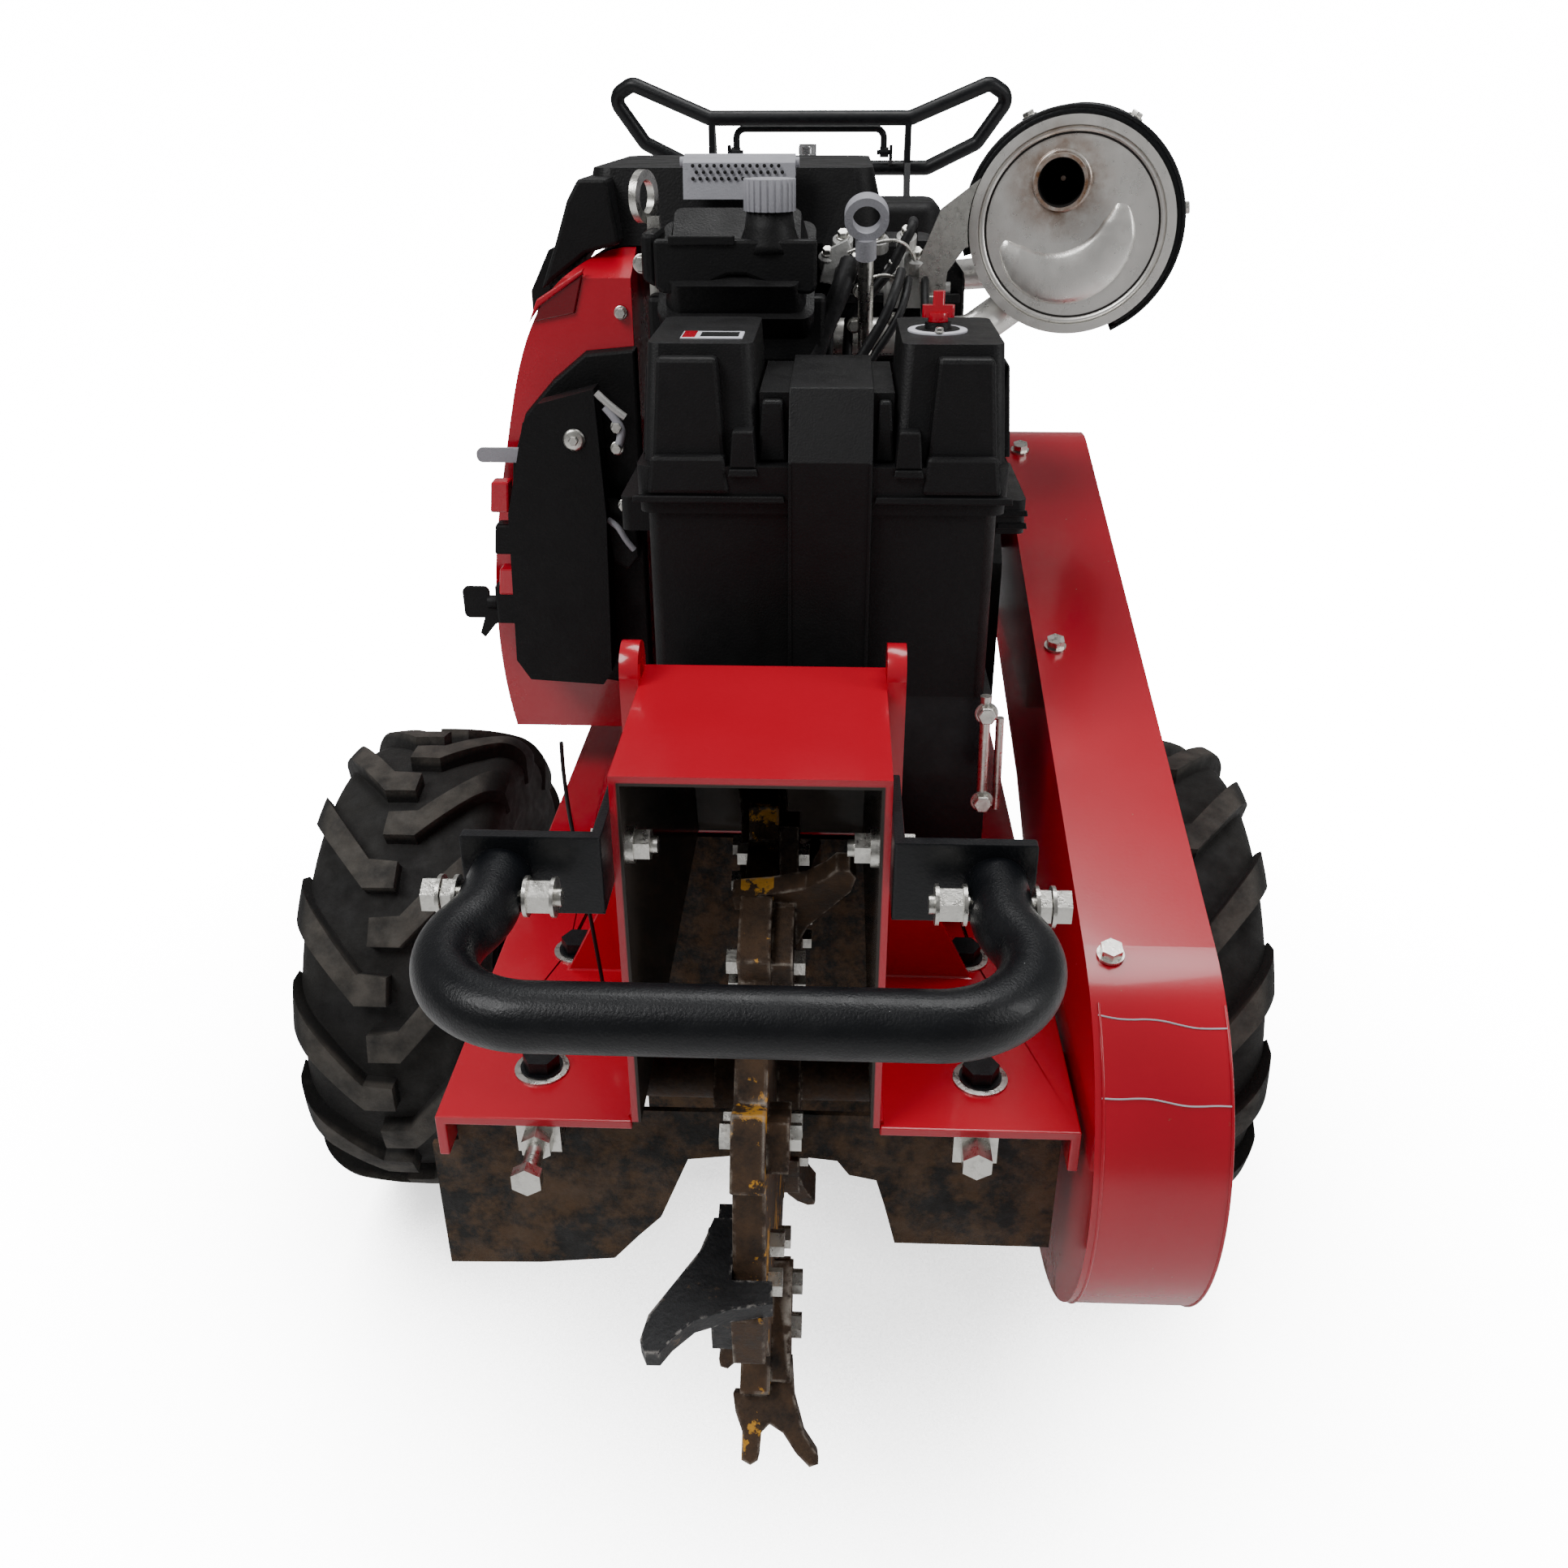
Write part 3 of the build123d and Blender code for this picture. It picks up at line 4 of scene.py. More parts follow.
import bmesh
import bpy
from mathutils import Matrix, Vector

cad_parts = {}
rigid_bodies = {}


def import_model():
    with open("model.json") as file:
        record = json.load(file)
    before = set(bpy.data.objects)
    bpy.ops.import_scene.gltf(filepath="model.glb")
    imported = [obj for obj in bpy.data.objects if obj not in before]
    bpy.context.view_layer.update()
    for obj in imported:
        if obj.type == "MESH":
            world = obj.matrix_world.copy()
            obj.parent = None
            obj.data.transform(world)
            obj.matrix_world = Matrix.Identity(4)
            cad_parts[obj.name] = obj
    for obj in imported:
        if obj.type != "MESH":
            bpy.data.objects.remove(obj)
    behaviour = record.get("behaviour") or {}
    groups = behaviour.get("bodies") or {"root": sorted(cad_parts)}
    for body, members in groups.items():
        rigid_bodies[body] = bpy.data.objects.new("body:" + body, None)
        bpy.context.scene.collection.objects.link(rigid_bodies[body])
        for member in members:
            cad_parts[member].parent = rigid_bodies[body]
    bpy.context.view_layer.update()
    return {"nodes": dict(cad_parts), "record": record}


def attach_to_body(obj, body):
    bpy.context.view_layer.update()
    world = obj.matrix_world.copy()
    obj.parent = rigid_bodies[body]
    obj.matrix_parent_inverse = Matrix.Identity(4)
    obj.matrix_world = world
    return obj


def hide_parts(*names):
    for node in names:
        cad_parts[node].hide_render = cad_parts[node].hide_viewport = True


for leftover in list(bpy.data.objects):
    bpy.data.objects.remove(leftover)
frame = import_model()
NODES = frame["nodes"]


# ---------------------------------------------------------------- node helpers
class Shader:
    """A material under construction: a node tree with short calls for the nodes used here."""

    def __init__(self, name, roughness=0.5, metallic=0.0, coat=0.0, specular=0.5):
        self.material = bpy.data.materials.new(name)
        self.material.use_nodes = True
        self.tree = self.material.node_tree
        self.bsdf = self.tree.nodes["Principled BSDF"]
        self.bsdf.inputs["Roughness"].default_value = roughness
        self.bsdf.inputs["Metallic"].default_value = metallic
        self.bsdf.inputs["Coat Weight"].default_value = coat
        self.bsdf.inputs["Coat Roughness"].default_value = 0.08
        self.bsdf.inputs["Specular IOR Level"].default_value = specular
        self.coords = self.tree.nodes.new("ShaderNodeTexCoord").outputs["Object"]

    def link(self, a, b):
        self.tree.links.new(a, b)

    def noise(self, scale, detail=6.0, rough=0.6, stretch=None, seed=0.0):
        node = self.tree.nodes.new("ShaderNodeTexNoise")
        node.noise_dimensions = "4D"
        node.inputs["W"].default_value = seed
        node.inputs["Scale"].default_value = scale
        node.inputs["Detail"].default_value = detail
        node.inputs["Roughness"].default_value = rough
        source = self.coords
        if stretch:
            mapping = self.tree.nodes.new("ShaderNodeMapping")
            mapping.inputs["Scale"].default_value = stretch
            self.link(self.coords, mapping.inputs["Vector"])
            source = mapping.outputs["Vector"]
        self.link(source, node.inputs["Vector"])
        return node.outputs["Fac"]

    def ramp(self, value, low, high, a=0.0, b=1.0):
        """a at low, b at high, held beyond both."""
        node = self.tree.nodes.new("ShaderNodeMapRange")
        node.inputs["From Min"].default_value = low
        node.inputs["From Max"].default_value = high
        node.inputs["To Min"].default_value = a
        node.inputs["To Max"].default_value = b
        self.link(value, node.inputs["Value"])
        return node.outputs["Result"]

    def math(self, operation, a, b):
        """One arithmetic step, held between 0 and 1."""
        node = self.tree.nodes.new("ShaderNodeMath")
        node.operation = operation
        node.use_clamp = True
        for socket, value in zip(node.inputs, (a, b)):
            if isinstance(value, (int, float)):
                socket.default_value = value
            else:
                self.link(value, socket)
        return node.outputs[0]

    def mix(self, factor, a, b):
        node = self.tree.nodes.new("ShaderNodeMix")
        node.data_type = "RGBA"
        self.link(factor, node.inputs["Factor"])
        for socket, value in ((node.inputs[6], a), (node.inputs[7], b)):
            if isinstance(value, tuple):
                socket.default_value = (*value, 1.0)
            else:
                self.link(value, socket)
        return node.outputs[2]

    def axes(self):
        """The object's own X, Y and Z, for what gathers on one side or at one height."""
        node = self.tree.nodes.new("ShaderNodeSeparateXYZ")
        self.link(self.coords, node.inputs[0])
        return node.outputs

    def distance(self, point, kept):
        """Distance from a point, measured in the kept axes only."""
        own = self.axes()
        flat = self.tree.nodes.new("ShaderNodeCombineXYZ")
        for axis in kept:
            self.link(own[axis], flat.inputs[axis])
        node = self.tree.nodes.new("ShaderNodeVectorMath")
        node.operation = "DISTANCE"
        self.link(flat.outputs[0], node.inputs[0])
        node.inputs[1].default_value = point
        return node.outputs["Value"]

    def within(self, value, half, soft):
        """1 where value is nearer to zero than half, fading over soft on each side of it."""
        return self.math("MULTIPLY", self.ramp(value, -half - soft, -half + soft),
                         self.ramp(value, half + soft, half - soft))

    def edges(self, radius):
        """1 on worn convex edges, 0 on flats."""
        bevel = self.tree.nodes.new("ShaderNodeBevel")
        bevel.samples = 4
        bevel.inputs["Radius"].default_value = radius
        geometry = self.tree.nodes.new("ShaderNodeNewGeometry")
        dot = self.tree.nodes.new("ShaderNodeVectorMath")
        dot.operation = "DOT_PRODUCT"
        self.link(bevel.outputs[0], dot.inputs[0])
        self.link(geometry.outputs["True Normal"], dot.inputs[1])
        return self.ramp(dot.outputs["Value"], 0.985, 0.9)

    def colour(self, value):
        self.link(value, self.bsdf.inputs["Base Color"])

    def rough(self, value):
        self.link(value, self.bsdf.inputs["Roughness"])

    def bump(self, value, distance):
        node = self.tree.nodes.new("ShaderNodeBump")
        node.inputs["Distance"].default_value = distance
        node.inputs["Strength"].default_value = 1.0
        self.link(value, node.inputs["Height"])
        self.link(node.outputs["Normal"], self.bsdf.inputs["Normal"])


# ---------------------------------------------------------------- materials
# What the materials go by, in metres. The hood's two limits lie inside its sheet, and the
# disc's just beyond its faces.
HOOD_WALL, HOOD_ROOF = 0.074, 0.676
DISC_HALF = 0.0102
TAILPIPE = (0.213, 0, 0.950)
DRIVE_AXLE = (0, -0.131, 0.2286)


def red_tone(m):
    return m.mix(m.noise(9, seed=1), (0.40, 0.0, 0.012), (0.50, 0.0002, 0.017))


def red_finish(m, soiled, dullness):
    """Gloss and fine grain of the red paint, dull where it is soiled."""
    m.rough(m.math("MAXIMUM", m.ramp(m.noise(7, 2), 0.3, 0.7, 0.22, 0.27),
                   m.math("MULTIPLY", soiled, dullness)))
    m.bump(m.noise(420, 2), 0.00006)


def red_paint():
    """Glossy red, specked, with dried mud low down."""
    m = Shader("red_paint", roughness=0.28, coat=0.35)
    low = m.ramp(m.axes()[2], 0.34, 0.22)
    dirt = m.math("MULTIPLY", low, m.ramp(m.noise(38, 9, 0.7), 0.44, 0.58))
    specks = m.ramp(m.noise(150, 4, 0.6, seed=3), 0.69, 0.73)
    dirt = m.math("MAXIMUM", dirt, m.math("MULTIPLY", specks, 0.35))
    m.colour(m.mix(dirt, red_tone(m), (0.16, 0.085, 0.045)))
    red_finish(m, dirt, 0.8)
    return m.material


def hood_red():
    """The hood's paint, turned dark brown to near black on the faces that look into the tunnel."""
    m = Shader("hood_red", roughness=0.28, coat=0.35)
    x, _, z = m.axes()
    under = m.ramp(z, HOOD_ROOF + 0.0005, HOOD_ROOF - 0.0005)
    inside = m.math("MULTIPLY", m.within(x, HOOD_WALL, 0.0005), under)
    # On the faces inside the tunnel the red gives way to a near black brown.
    mud = m.mix(m.noise(30, 9, 0.75), (0.004, 0.003, 0.002), (0.030, 0.016, 0.008))
    m.colour(m.mix(inside, red_tone(m), mud))
    red_finish(m, inside, 0.85)
    return m.material


def black_paint(name="black_paint", chips=0.0):
    """Satin black, with pale chips if asked."""
    m = Shader(name, roughness=0.36, coat=0.05, specular=0.30)
    base = m.mix(m.noise(30), (0.0014, 0.0018, 0.0026), (0.0032, 0.0040, 0.0056))
    if chips:
        spots = m.ramp(m.noise(210, 3, 0.5, seed=8), 0.742, 0.75)
        base = m.mix(m.math("MULTIPLY", spots, chips), base, (0.75, 0.77, 0.78))
    m.colour(base)
    m.rough(m.ramp(m.noise(60, 5), 0.3, 0.7, 0.30, 0.46))
    m.bump(m.noise(700, 3), 0.0003)
    return m.material


def moulded(name, light=0.0028, grain=900):
    """Grained plastic or rubber; light sets how dark it is."""
    m = Shader(name, roughness=0.46, specular=0.24)
    a = (light, light, light * 1.1)
    b = (light * 2.2, light * 2.2, light * 2.4)
    m.colour(m.mix(m.noise(14, 8, 0.7), a, b))
    m.rough(m.ramp(m.noise(40, 5), 0.3, 0.7, 0.40, 0.60))
    m.bump(m.noise(grain, 2), 0.0004)
    return m.material


def red_plastic(name="red_plastic", depth=1.0):
    """Shiny moulded red; a lower depth is a darker red, used for painted shade."""
    m = Shader(name, roughness=0.22, coat=0.5)
    m.colour(m.mix(m.noise(8), (0.46 * depth, 0.0, 0.012 * depth),
                   (0.52 * depth, 0.0002, 0.020 * depth)))
    m.rough(m.ramp(m.noise(30, 5), 0.3, 0.7, 0.16, 0.30))
    m.bump(m.noise(500, 2), 0.0001)
    return m.material


def plated(name, tone=(0.62, 0.61, 0.57), rough=0.28, dirt=0.4):
    """Zinc or chrome with grime in the hollows."""
    m = Shader(name, roughness=rough, metallic=1.0)
    grime = m.ramp(m.noise(120, 8, 0.7), 0.50, 0.66)
    grime = m.math("MULTIPLY", grime, dirt)
    dark = tuple(c * 0.30 for c in tone)
    m.colour(m.mix(grime, tone, dark))
    m.rough(m.ramp(m.noise(200, 5), 0.3, 0.7, rough - 0.08, rough + 0.14))
    m.bump(m.noise(600, 3), 0.0002)
    return m.material


def worn_steel():
    """Muddy brown steel, bright on its edges, old yellow paint on the disc."""
    m = Shader("worn_steel", roughness=0.6, metallic=0.4)
    soil = m.noise(45, 10, 0.75)
    base = m.mix(m.ramp(soil, 0.35, 0.65), (0.014, 0.009, 0.006), (0.105, 0.058, 0.030))
    bright = m.math("MULTIPLY", m.edges(0.003), m.ramp(m.noise(90), 0.45, 0.60))
    paint = m.ramp(m.noise(28, 9, 0.72, seed=4), 0.565, 0.585)
    on_disc = m.within(m.axes()[0], DISC_HALF, 0.0002)
    base = m.mix(m.math("MULTIPLY", paint, on_disc), base, (0.62, 0.30, 0.030))
    m.colour(m.mix(bright, base, (0.42, 0.38, 0.33)))
    m.rough(m.ramp(soil, 0.3, 0.7, 0.42, 0.85))
    m.bump(m.noise(160, 9, 0.7), 0.0016)
    return m.material


def claw_black():
    """A new black claw, scuffed at the edges and a little soiled."""
    m = Shader("claw_black", roughness=0.42, specular=0.4)
    base = m.mix(m.noise(60), (0.003, 0.0033, 0.004), (0.008, 0.0085, 0.010))
    scuffs = m.math("MULTIPLY", m.edges(0.003), m.ramp(m.noise(140), 0.5, 0.58))
    soil = m.ramp(m.noise(70, 9, 0.7, seed=5), 0.60, 0.70)
    base = m.mix(m.math("MULTIPLY", soil, 0.6), base, (0.20, 0.12, 0.06))
    m.colour(m.mix(scuffs, base, (0.30, 0.28, 0.26)))
    m.rough(m.ramp(m.noise(90), 0.3, 0.7, 0.34, 0.56))
    m.bump(m.noise(260, 5), 0.0006)
    return m.material


def cast(name, dark, light, scale=200, depth=0.0008, metallic=0.3):
    """A rough cast surface."""
    m = Shader(name, roughness=0.55, metallic=metallic)
    m.colour(m.mix(m.noise(24, 8, 0.7), dark, light))
    m.rough(m.ramp(m.noise(50), 0.3, 0.7, 0.45, 0.68))
    m.bump(m.noise(scale, 4), depth)
    return m.material


def exhaust_steel():
    """Pale silencer steel, browned round the tailpipe."""
    m = Shader("exhaust_steel", roughness=0.42, metallic=0.72)
    tone = m.mix(m.noise(10, 6), (0.84, 0.83, 0.80), (0.72, 0.70, 0.66))
    from_tailpipe = m.distance(TAILPIPE, kept=(0, 2))
    heat = m.math("MULTIPLY", m.ramp(from_tailpipe, 0.046, 0.021),
                  m.ramp(m.noise(60, 8), 0.30, 0.65))
    tone = m.mix(heat, tone, (0.24, 0.11, 0.045))
    streak = m.ramp(m.noise(70, 9, 0.75, seed=2), 0.56, 0.68)
    tone = m.mix(m.math("MULTIPLY", streak, 0.22), tone, (0.27, 0.22, 0.17))
    m.colour(tone)
    m.rough(m.ramp(m.noise(90, 6), 0.3, 0.7, 0.22, 0.44))
    m.bump(m.noise(900, 2, stretch=(1, 0.05, 1)), 0.0001)
    return m.material


def soot():
    """Black soot inside the tailpipe; the same black in the rim groove is painted shade."""
    m = Shader("soot", roughness=0.9)
    m.colour(m.mix(m.noise(80), (0.002, 0.0018, 0.0016), (0.010, 0.006, 0.004)))
    m.bump(m.noise(200), 0.0006)
    return m.material


def tyre_rubber():
    """Dark rubber, paler where the lugs are rubbed."""
    m = Shader("tyre_rubber", roughness=0.8)
    dust = m.ramp(m.noise(14, 9, 0.7), 0.38, 0.66)
    base = m.mix(dust, (0.0035, 0.003, 0.0028), (0.010, 0.009, 0.007))
    from_axle = m.distance(DRIVE_AXLE, kept=(1, 2))
    lug_top = m.ramp(from_axle, 0.219, 0.224)
    rubbed = m.math("MULTIPLY", lug_top, m.ramp(m.noise(40, 8, seed=6), 0.30, 0.62))
    m.colour(m.mix(rubbed, base, (0.062, 0.055, 0.046)))
    m.rough(m.ramp(m.noise(60), 0.3, 0.7, 0.68, 0.92))
    m.bump(m.noise(320, 6, 0.7), 0.0008)
    return m.material


def muddy_rubber():
    """Black rubber under dried mud."""
    m = Shader("muddy_rubber", roughness=0.9)
    mud = m.ramp(m.noise(26, 10, 0.75), 0.44, 0.56)
    tone = m.mix(m.noise(90, 8), (0.045, 0.024, 0.010), (0.11, 0.058, 0.024))
    m.colour(m.mix(mud, (0.006, 0.005, 0.004), tone))
    m.rough(m.ramp(m.noise(50), 0.3, 0.7, 0.6, 0.95))
    m.bump(m.noise(70, 10, 0.75), 0.003)
    return m.material


MATERIALS = {
    "red_paint": red_paint(),
    "hood_red": hood_red(),
    "black_paint": black_paint(),
    "bumper_black": black_paint("bumper_black", chips=1.0),
    "zinc_steel": plated("zinc_steel"),
    "worn_steel": worn_steel(),
    "claw_black": claw_black(),
    "cast_black": cast("cast_black", (0.006, 0.006, 0.006), (0.014, 0.013, 0.012)),
    "engine_cast": cast("engine_cast", (0.005, 0.005, 0.005), (0.012, 0.012, 0.013)),
    "silver_cast": cast("silver_cast", (0.42, 0.42, 0.41), (0.60, 0.60, 0.58), 260, 0.0005, 0.8),
    "black_plastic": moulded("black_plastic"),
    "engine_black": moulded("engine_black", 0.0022, 600),
    "red_plastic": red_plastic(),
    "grey_plastic": moulded("grey_plastic", 0.20, 700),
    "exhaust_steel": exhaust_steel(),
    "chrome_rod": plated("chrome_rod", (0.75, 0.75, 0.76), 0.16, 0.15),
    "tyre_rubber": tyre_rubber(),
    "flap_rubber": muddy_rubber(),
    "belt_rubber": moulded("belt_rubber", 0.005, 300),
    # Soot in the tailpipe, painted shade in the silencer's rim groove.
    "soot": soot(),
    # Pale grey lines on the guard's bends: a painted highlight.
    "scuff": moulded("scuff", 0.30, 500),
    "label_pale": moulded("label_pale", 0.42, 500),
    # A darker copy of the red plastic: painted shade for the fan cover's hollow.
    "red_shade": red_plastic("red_shade", 0.35),
}
# CAD nodes that take another material than their slot's own.
SPECIAL = {"rotor_hood": "hood_red", "bumper": "bumper_black", "head_covers": "engine_black",
           "engine_panel": "engine_black", "air_cleaner": "engine_black"}


def paint_cad_parts():
    for entry in frame["record"]["subparts"]:
        node = entry["node"]
        slots = NODES[node].data.materials
        slots.clear()
        slots.append(MATERIALS[SPECIAL.get(node, entry["material_slot"])])


# ---------------------------------------------------------------- softened edges on CAD parts
# Width of the edge rounding of each node, in metres.
BEVELS = {"rotor_hood": 0.0012, "deck": 0.0012, "battery_box": 0.003, "battery_lid": 0.005,
          "battery_strap": 0.0008, "head_covers": 0.004, "fan_cover": 0.010, "engine_panel": 0.004,
          "air_cleaner": 0.006, "fuel_tank": 0.003, "claw_new": 0.003,
          "claws_worn": 0.003, "rotor_disc": 0.0015, "bumper_brackets": 0.0015, "crankcase": 0.004,
          "isolator_key": 0.0012, "air_cleaner_latch": 0.002, "throttle_lever": 0.001,
          "ignition_key": 0.001, "carburettor": 0.002, "tyre_left": 0.003, "tyre_right": 0.003,
          "transaxle": 0.003, "chassis_frame": 0.0015, "jack_leg": 0.001, "oil_cap": 0.0012}


def soften(obj, width):
    edge = obj.modifiers.new("soft_edge", "BEVEL")
    edge.width = width
    edge.segments = 2
    edge.limit_method = "ANGLE"
    edge.angle_limit = math.radians(35)


def soften_cad_parts():
    """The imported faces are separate, so they are welded before they are rounded."""
    for node, width in BEVELS.items():
        weld = NODES[node].modifiers.new("weld", "WELD")
        weld.merge_threshold = 0.00001
        soften(NODES[node], width)


# ---------------------------------------------------------------- camera, floor, light
def link_object(name, data):
    obj = bpy.data.objects.new(name, data)
    bpy.context.scene.collection.objects.link(obj)
    return obj


def place_camera():
    """In front of the machine, looking down at it."""
    data = bpy.data.cameras.new("camera")
    data.sensor_width = 36
    data.lens = 30.6
    camera = link_object("camera", data)
    camera.location = (0.045, -1.251, 1.012)
    camera.rotation_euler = [math.radians(turn) for turn in (62.505, 0.129, 2.288)]
    bpy.context.scene.camera = camera


def lay_floor():
    """A pale floor that sweeps up behind, with a soft painted shadow where the machine stands
    close.
    """
    profile = [(-6.0, 0.0), (4.0, 0.0)]
    profile += [(4.0 + 3.0 * math.sin(a), 3.0 - 3.0 * math.cos(a))
                for a in (math.radians(7.5 * k) for k in range(1, 13))]
    profile.append((7.0, 9.0))
    verts = [(x, y, z) for y, z in profile for x in (-9.0, 9.0)]
    faces = [(2 * k, 2 * k + 1, 2 * k + 3, 2 * k + 2) for k in range(len(profile) - 1)]
    floor_mesh = bpy.data.meshes.new("floor")
    floor_mesh.from_pydata(verts, [], faces)
    floor_mesh.polygons.foreach_set("use_smooth", [True] * len(faces))
    floor = link_object("floor", floor_mesh)
    m = Shader("floor_white", roughness=0.9, specular=0.0)
    m.colour(m.mix(m.noise(2.0), (0.86, 0.86, 0.86), (0.88, 0.88, 0.88)))
    # The floor glows to the camera only, and ambient occlusion dims the glow near the machine: a
    # painted shadow.
    seen = m.tree.nodes.new("ShaderNodeLightPath").outputs["Is Camera Ray"]
    occlusion = m.tree.nodes.new("ShaderNodeAmbientOcclusion")
    occlusion.inputs["Distance"].default_value = 0.80
    occlusion.samples = 8
    glow_with_painted_shadow = m.tree.nodes.new("ShaderNodeMath")
    glow_with_painted_shadow.operation = "MULTIPLY"
    m.link(seen, glow_with_painted_shadow.inputs[0])
    m.link(m.ramp(occlusion.outputs["AO"], 0.35, 0.98, 1.2, 16.0), glow_with_painted_shadow.inputs[1])
    m.link(glow_with_painted_shadow.outputs[0], m.bsdf.inputs["Emission Strength"])
    m.bsdf.inputs["Emission Color"].default_value = (1, 1, 1, 1)
    floor_mesh.materials.append(m.material)


def light_studio():
    world = bpy.data.worlds.new("studio")
    world.use_nodes = True
    background = world.node_tree.nodes["Background"]
    background.inputs["Color"].default_value = (1.0, 1.0, 1.0, 1.0)
    background.inputs["Strength"].default_value = 0.25
    bpy.context.scene.world = world

    for name, place, aim, size, power in (
            ("key", (-1.6, -1.6, 3.0), (0.0, -0.2, 0.5), (1.4, 1.4), 66),
            ("top", (0.3, 0.4, 3.2), (0.0, 0.0, 0.5), (2.0, 1.0), 50),
            ("right", (2.6, -1.2, 1.8), (0.2, -0.3, 0.5), (0.5, 1.8), 30)):
        light = bpy.data.lights.new(name, "AREA")
        light.shape = "RECTANGLE"
        light.size, light.size_y = size
        light.energy = power
        lamp = link_object(name, light)
        lamp.location = place
        lamp.rotation_euler = (Vector(aim) - Vector(place)).to_track_quat("-Z", "Y").to_euler()


# ---------------------------------------------------------------- piece helpers (millimetres in)
def attach(obj, body):
    """Make a finished piece ride its body."""
    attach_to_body(obj, body)
    return obj


def piece(name, verts, faces, material, body="chassis", bevel=0.0, smooth=False):
    """A mesh piece from corners in millimetres."""
    mesh = bpy.data.meshes.new(name)
    mesh.from_pydata([tuple(c / 1000 for c in v) for v in verts], [], faces)
    work = bmesh.new()
    work.from_mesh(mesh)
    bmesh.ops.recalc_face_normals(work, faces=work.faces)
    work.to_mesh(mesh)
    work.free()
    mesh.polygons.foreach_set("use_smooth", [smooth] * len(mesh.polygons))
    obj = link_object(name, mesh)
    mesh.materials.append(MATERIALS[material])
    if bevel:
        soften(obj, bevel / 1000)
    return attach(obj, body)


def panel(name, outline, y0, y1, material, bevel=1.0, shrink=0.0):
    """A plate whose outline is given in (x, z), between two y; shrink pulls in its y0 face."""
    n = len(outline)
    cx = sum(p[0] for p in outline) / n
    cz = sum(p[1] for p in outline) / n
    pull = 1 - shrink
    verts = [(cx + (x - cx) * pull, y0, cz + (z - cz) * pull) for x, z in outline]
    verts += [(x, y1, z) for x, z in outline]
    faces = [tuple(range(n)), tuple(range(2 * n - 1, n - 1, -1))]
    faces += [(k, (k + 1) % n, n + (k + 1) % n, n + k) for k in range(n)]
    return piece(name, verts, faces, material, bevel=bevel)


def wedge(name, x, y, z, inset, material="black_plastic", bevel=2.0):
    """A block whose top is pulled in by inset on each side."""
    verts = [(a, b, z[0]) for b in y for a in x]
    verts += [(x[0] + inset, y[0] + inset, z[1]), (x[1] - inset, y[0] + inset, z[1]),
              (x[0] + inset, y[1] - inset, z[1]), (x[1] - inset, y[1] - inset, z[1])]
    faces = [(0, 2, 3, 1), (4, 5, 7, 6), (0, 1, 5, 4), (2, 6, 7, 3), (0, 4, 6, 2), (1, 3, 7, 5)]
    return piece(name, verts, faces, material, bevel=bevel)


def frame_of(axis):
    """Two directions square to the axis, and the axis itself, all of length one."""
    axis = Vector(axis).normalized()
    side = axis.cross(Vector((0, 0, 1)))
    if side.length < 0.01:
        side = Vector((1, 0, 0))
    side.normalize()
    return side, axis.cross(side), axis


def lathe(name, profile, origin, axis, material, steps=48, smooth=True, hollow=False,
          body="chassis"):
    """A profile of (radius, distance along axis) turned about the axis through origin.

    A hollow one is a ring: its profile closes on itself instead of being capped."""
    side, up, along = frame_of(axis)
    verts = []
    for radius, distance in profile:
        for k in range(steps):
            a = 2 * math.pi * k / steps
            verts.append(Vector(origin) + along * distance
                         + (side * math.cos(a) + up * math.sin(a)) * radius)
    faces = []
    count = len(profile)
    for ring in range(count if hollow else count - 1):
        a, b = ring * steps, (ring + 1) % count * steps
        for k in range(steps):
            j = (k + 1) % steps
            faces.append((a + k, a + j, b + j, b + k))
    if not hollow:
        faces.append(tuple(range(steps)))
        faces.append(tuple(range((count - 1) * steps, count * steps)))
    return piece(name, verts, faces, material, body, smooth=smooth)


def hex_bolt(name, origin, axis, across, height):
    """A chamfered hexagon head on a washer."""
    side, up, along = frame_of(axis)
    corner = across / math.sqrt(3)
    rings = [(corner, 0), (corner, height * 0.82), (corner * 0.86, height)]
    verts, faces = [], []
    for radius, distance in rings:
        for k in range(6):
            a = math.pi * k / 3
            verts.append(Vector(origin) + along * (distance + 1.5)
                         + (side * math.cos(a) + up * math.sin(a)) * radius)
    for ring in range(2):
        for k in range(6):
            j = (k + 1) % 6
            faces.append((ring * 6 + k, ring * 6 + j, ring * 6 + 6 + j, ring * 6 + 6 + k))
    faces += [tuple(range(6)), tuple(range(12, 18))]
    piece(name, verts, faces, "zinc_steel", bevel=0.3)
    lathe(name + "_washer", [(across * 0.68, 0), (across * 0.68, 1.2), (across * 0.6, 1.6)],
          origin, axis, "zinc_steel", steps=24, smooth=False)


def hose(name, points, radius, material):
    """A round line, such as a hose or a rod, led by control points."""
    data = bpy.data.curves.new(name, "CURVE")
    data.dimensions = "3D"
    data.bevel_depth = radius / 1000
    data.bevel_resolution = 3
    data.resolution_u = 12
    line = data.splines.new("NURBS")
    line.points.add(len(points) - 1)
    for point, place in zip(line.points, points):
        point.co = (*(c / 1000 for c in place), 1.0)
    line.use_endpoint_u = True
    line.order_u = 3
    data.use_fill_caps = True
    data.materials.append(MATERIALS[material])
    attach(link_object(name, data), "chassis")


# ---------------------------------------------------------------- silencer
DRUM = (223.0, -125.0, 917.0)    # middle of the front rim, about which the drum is turned
YAW = math.radians(10)
FACE_Y = -120                    # the end plate; this and the next y are before the turn
SHIELD_Y, SHIELD_LENGTH = -112, 186
SHIELD_R = 85.0
SHIELD_FROM, SHIELD_TO = math.radians(-64), math.radians(196)


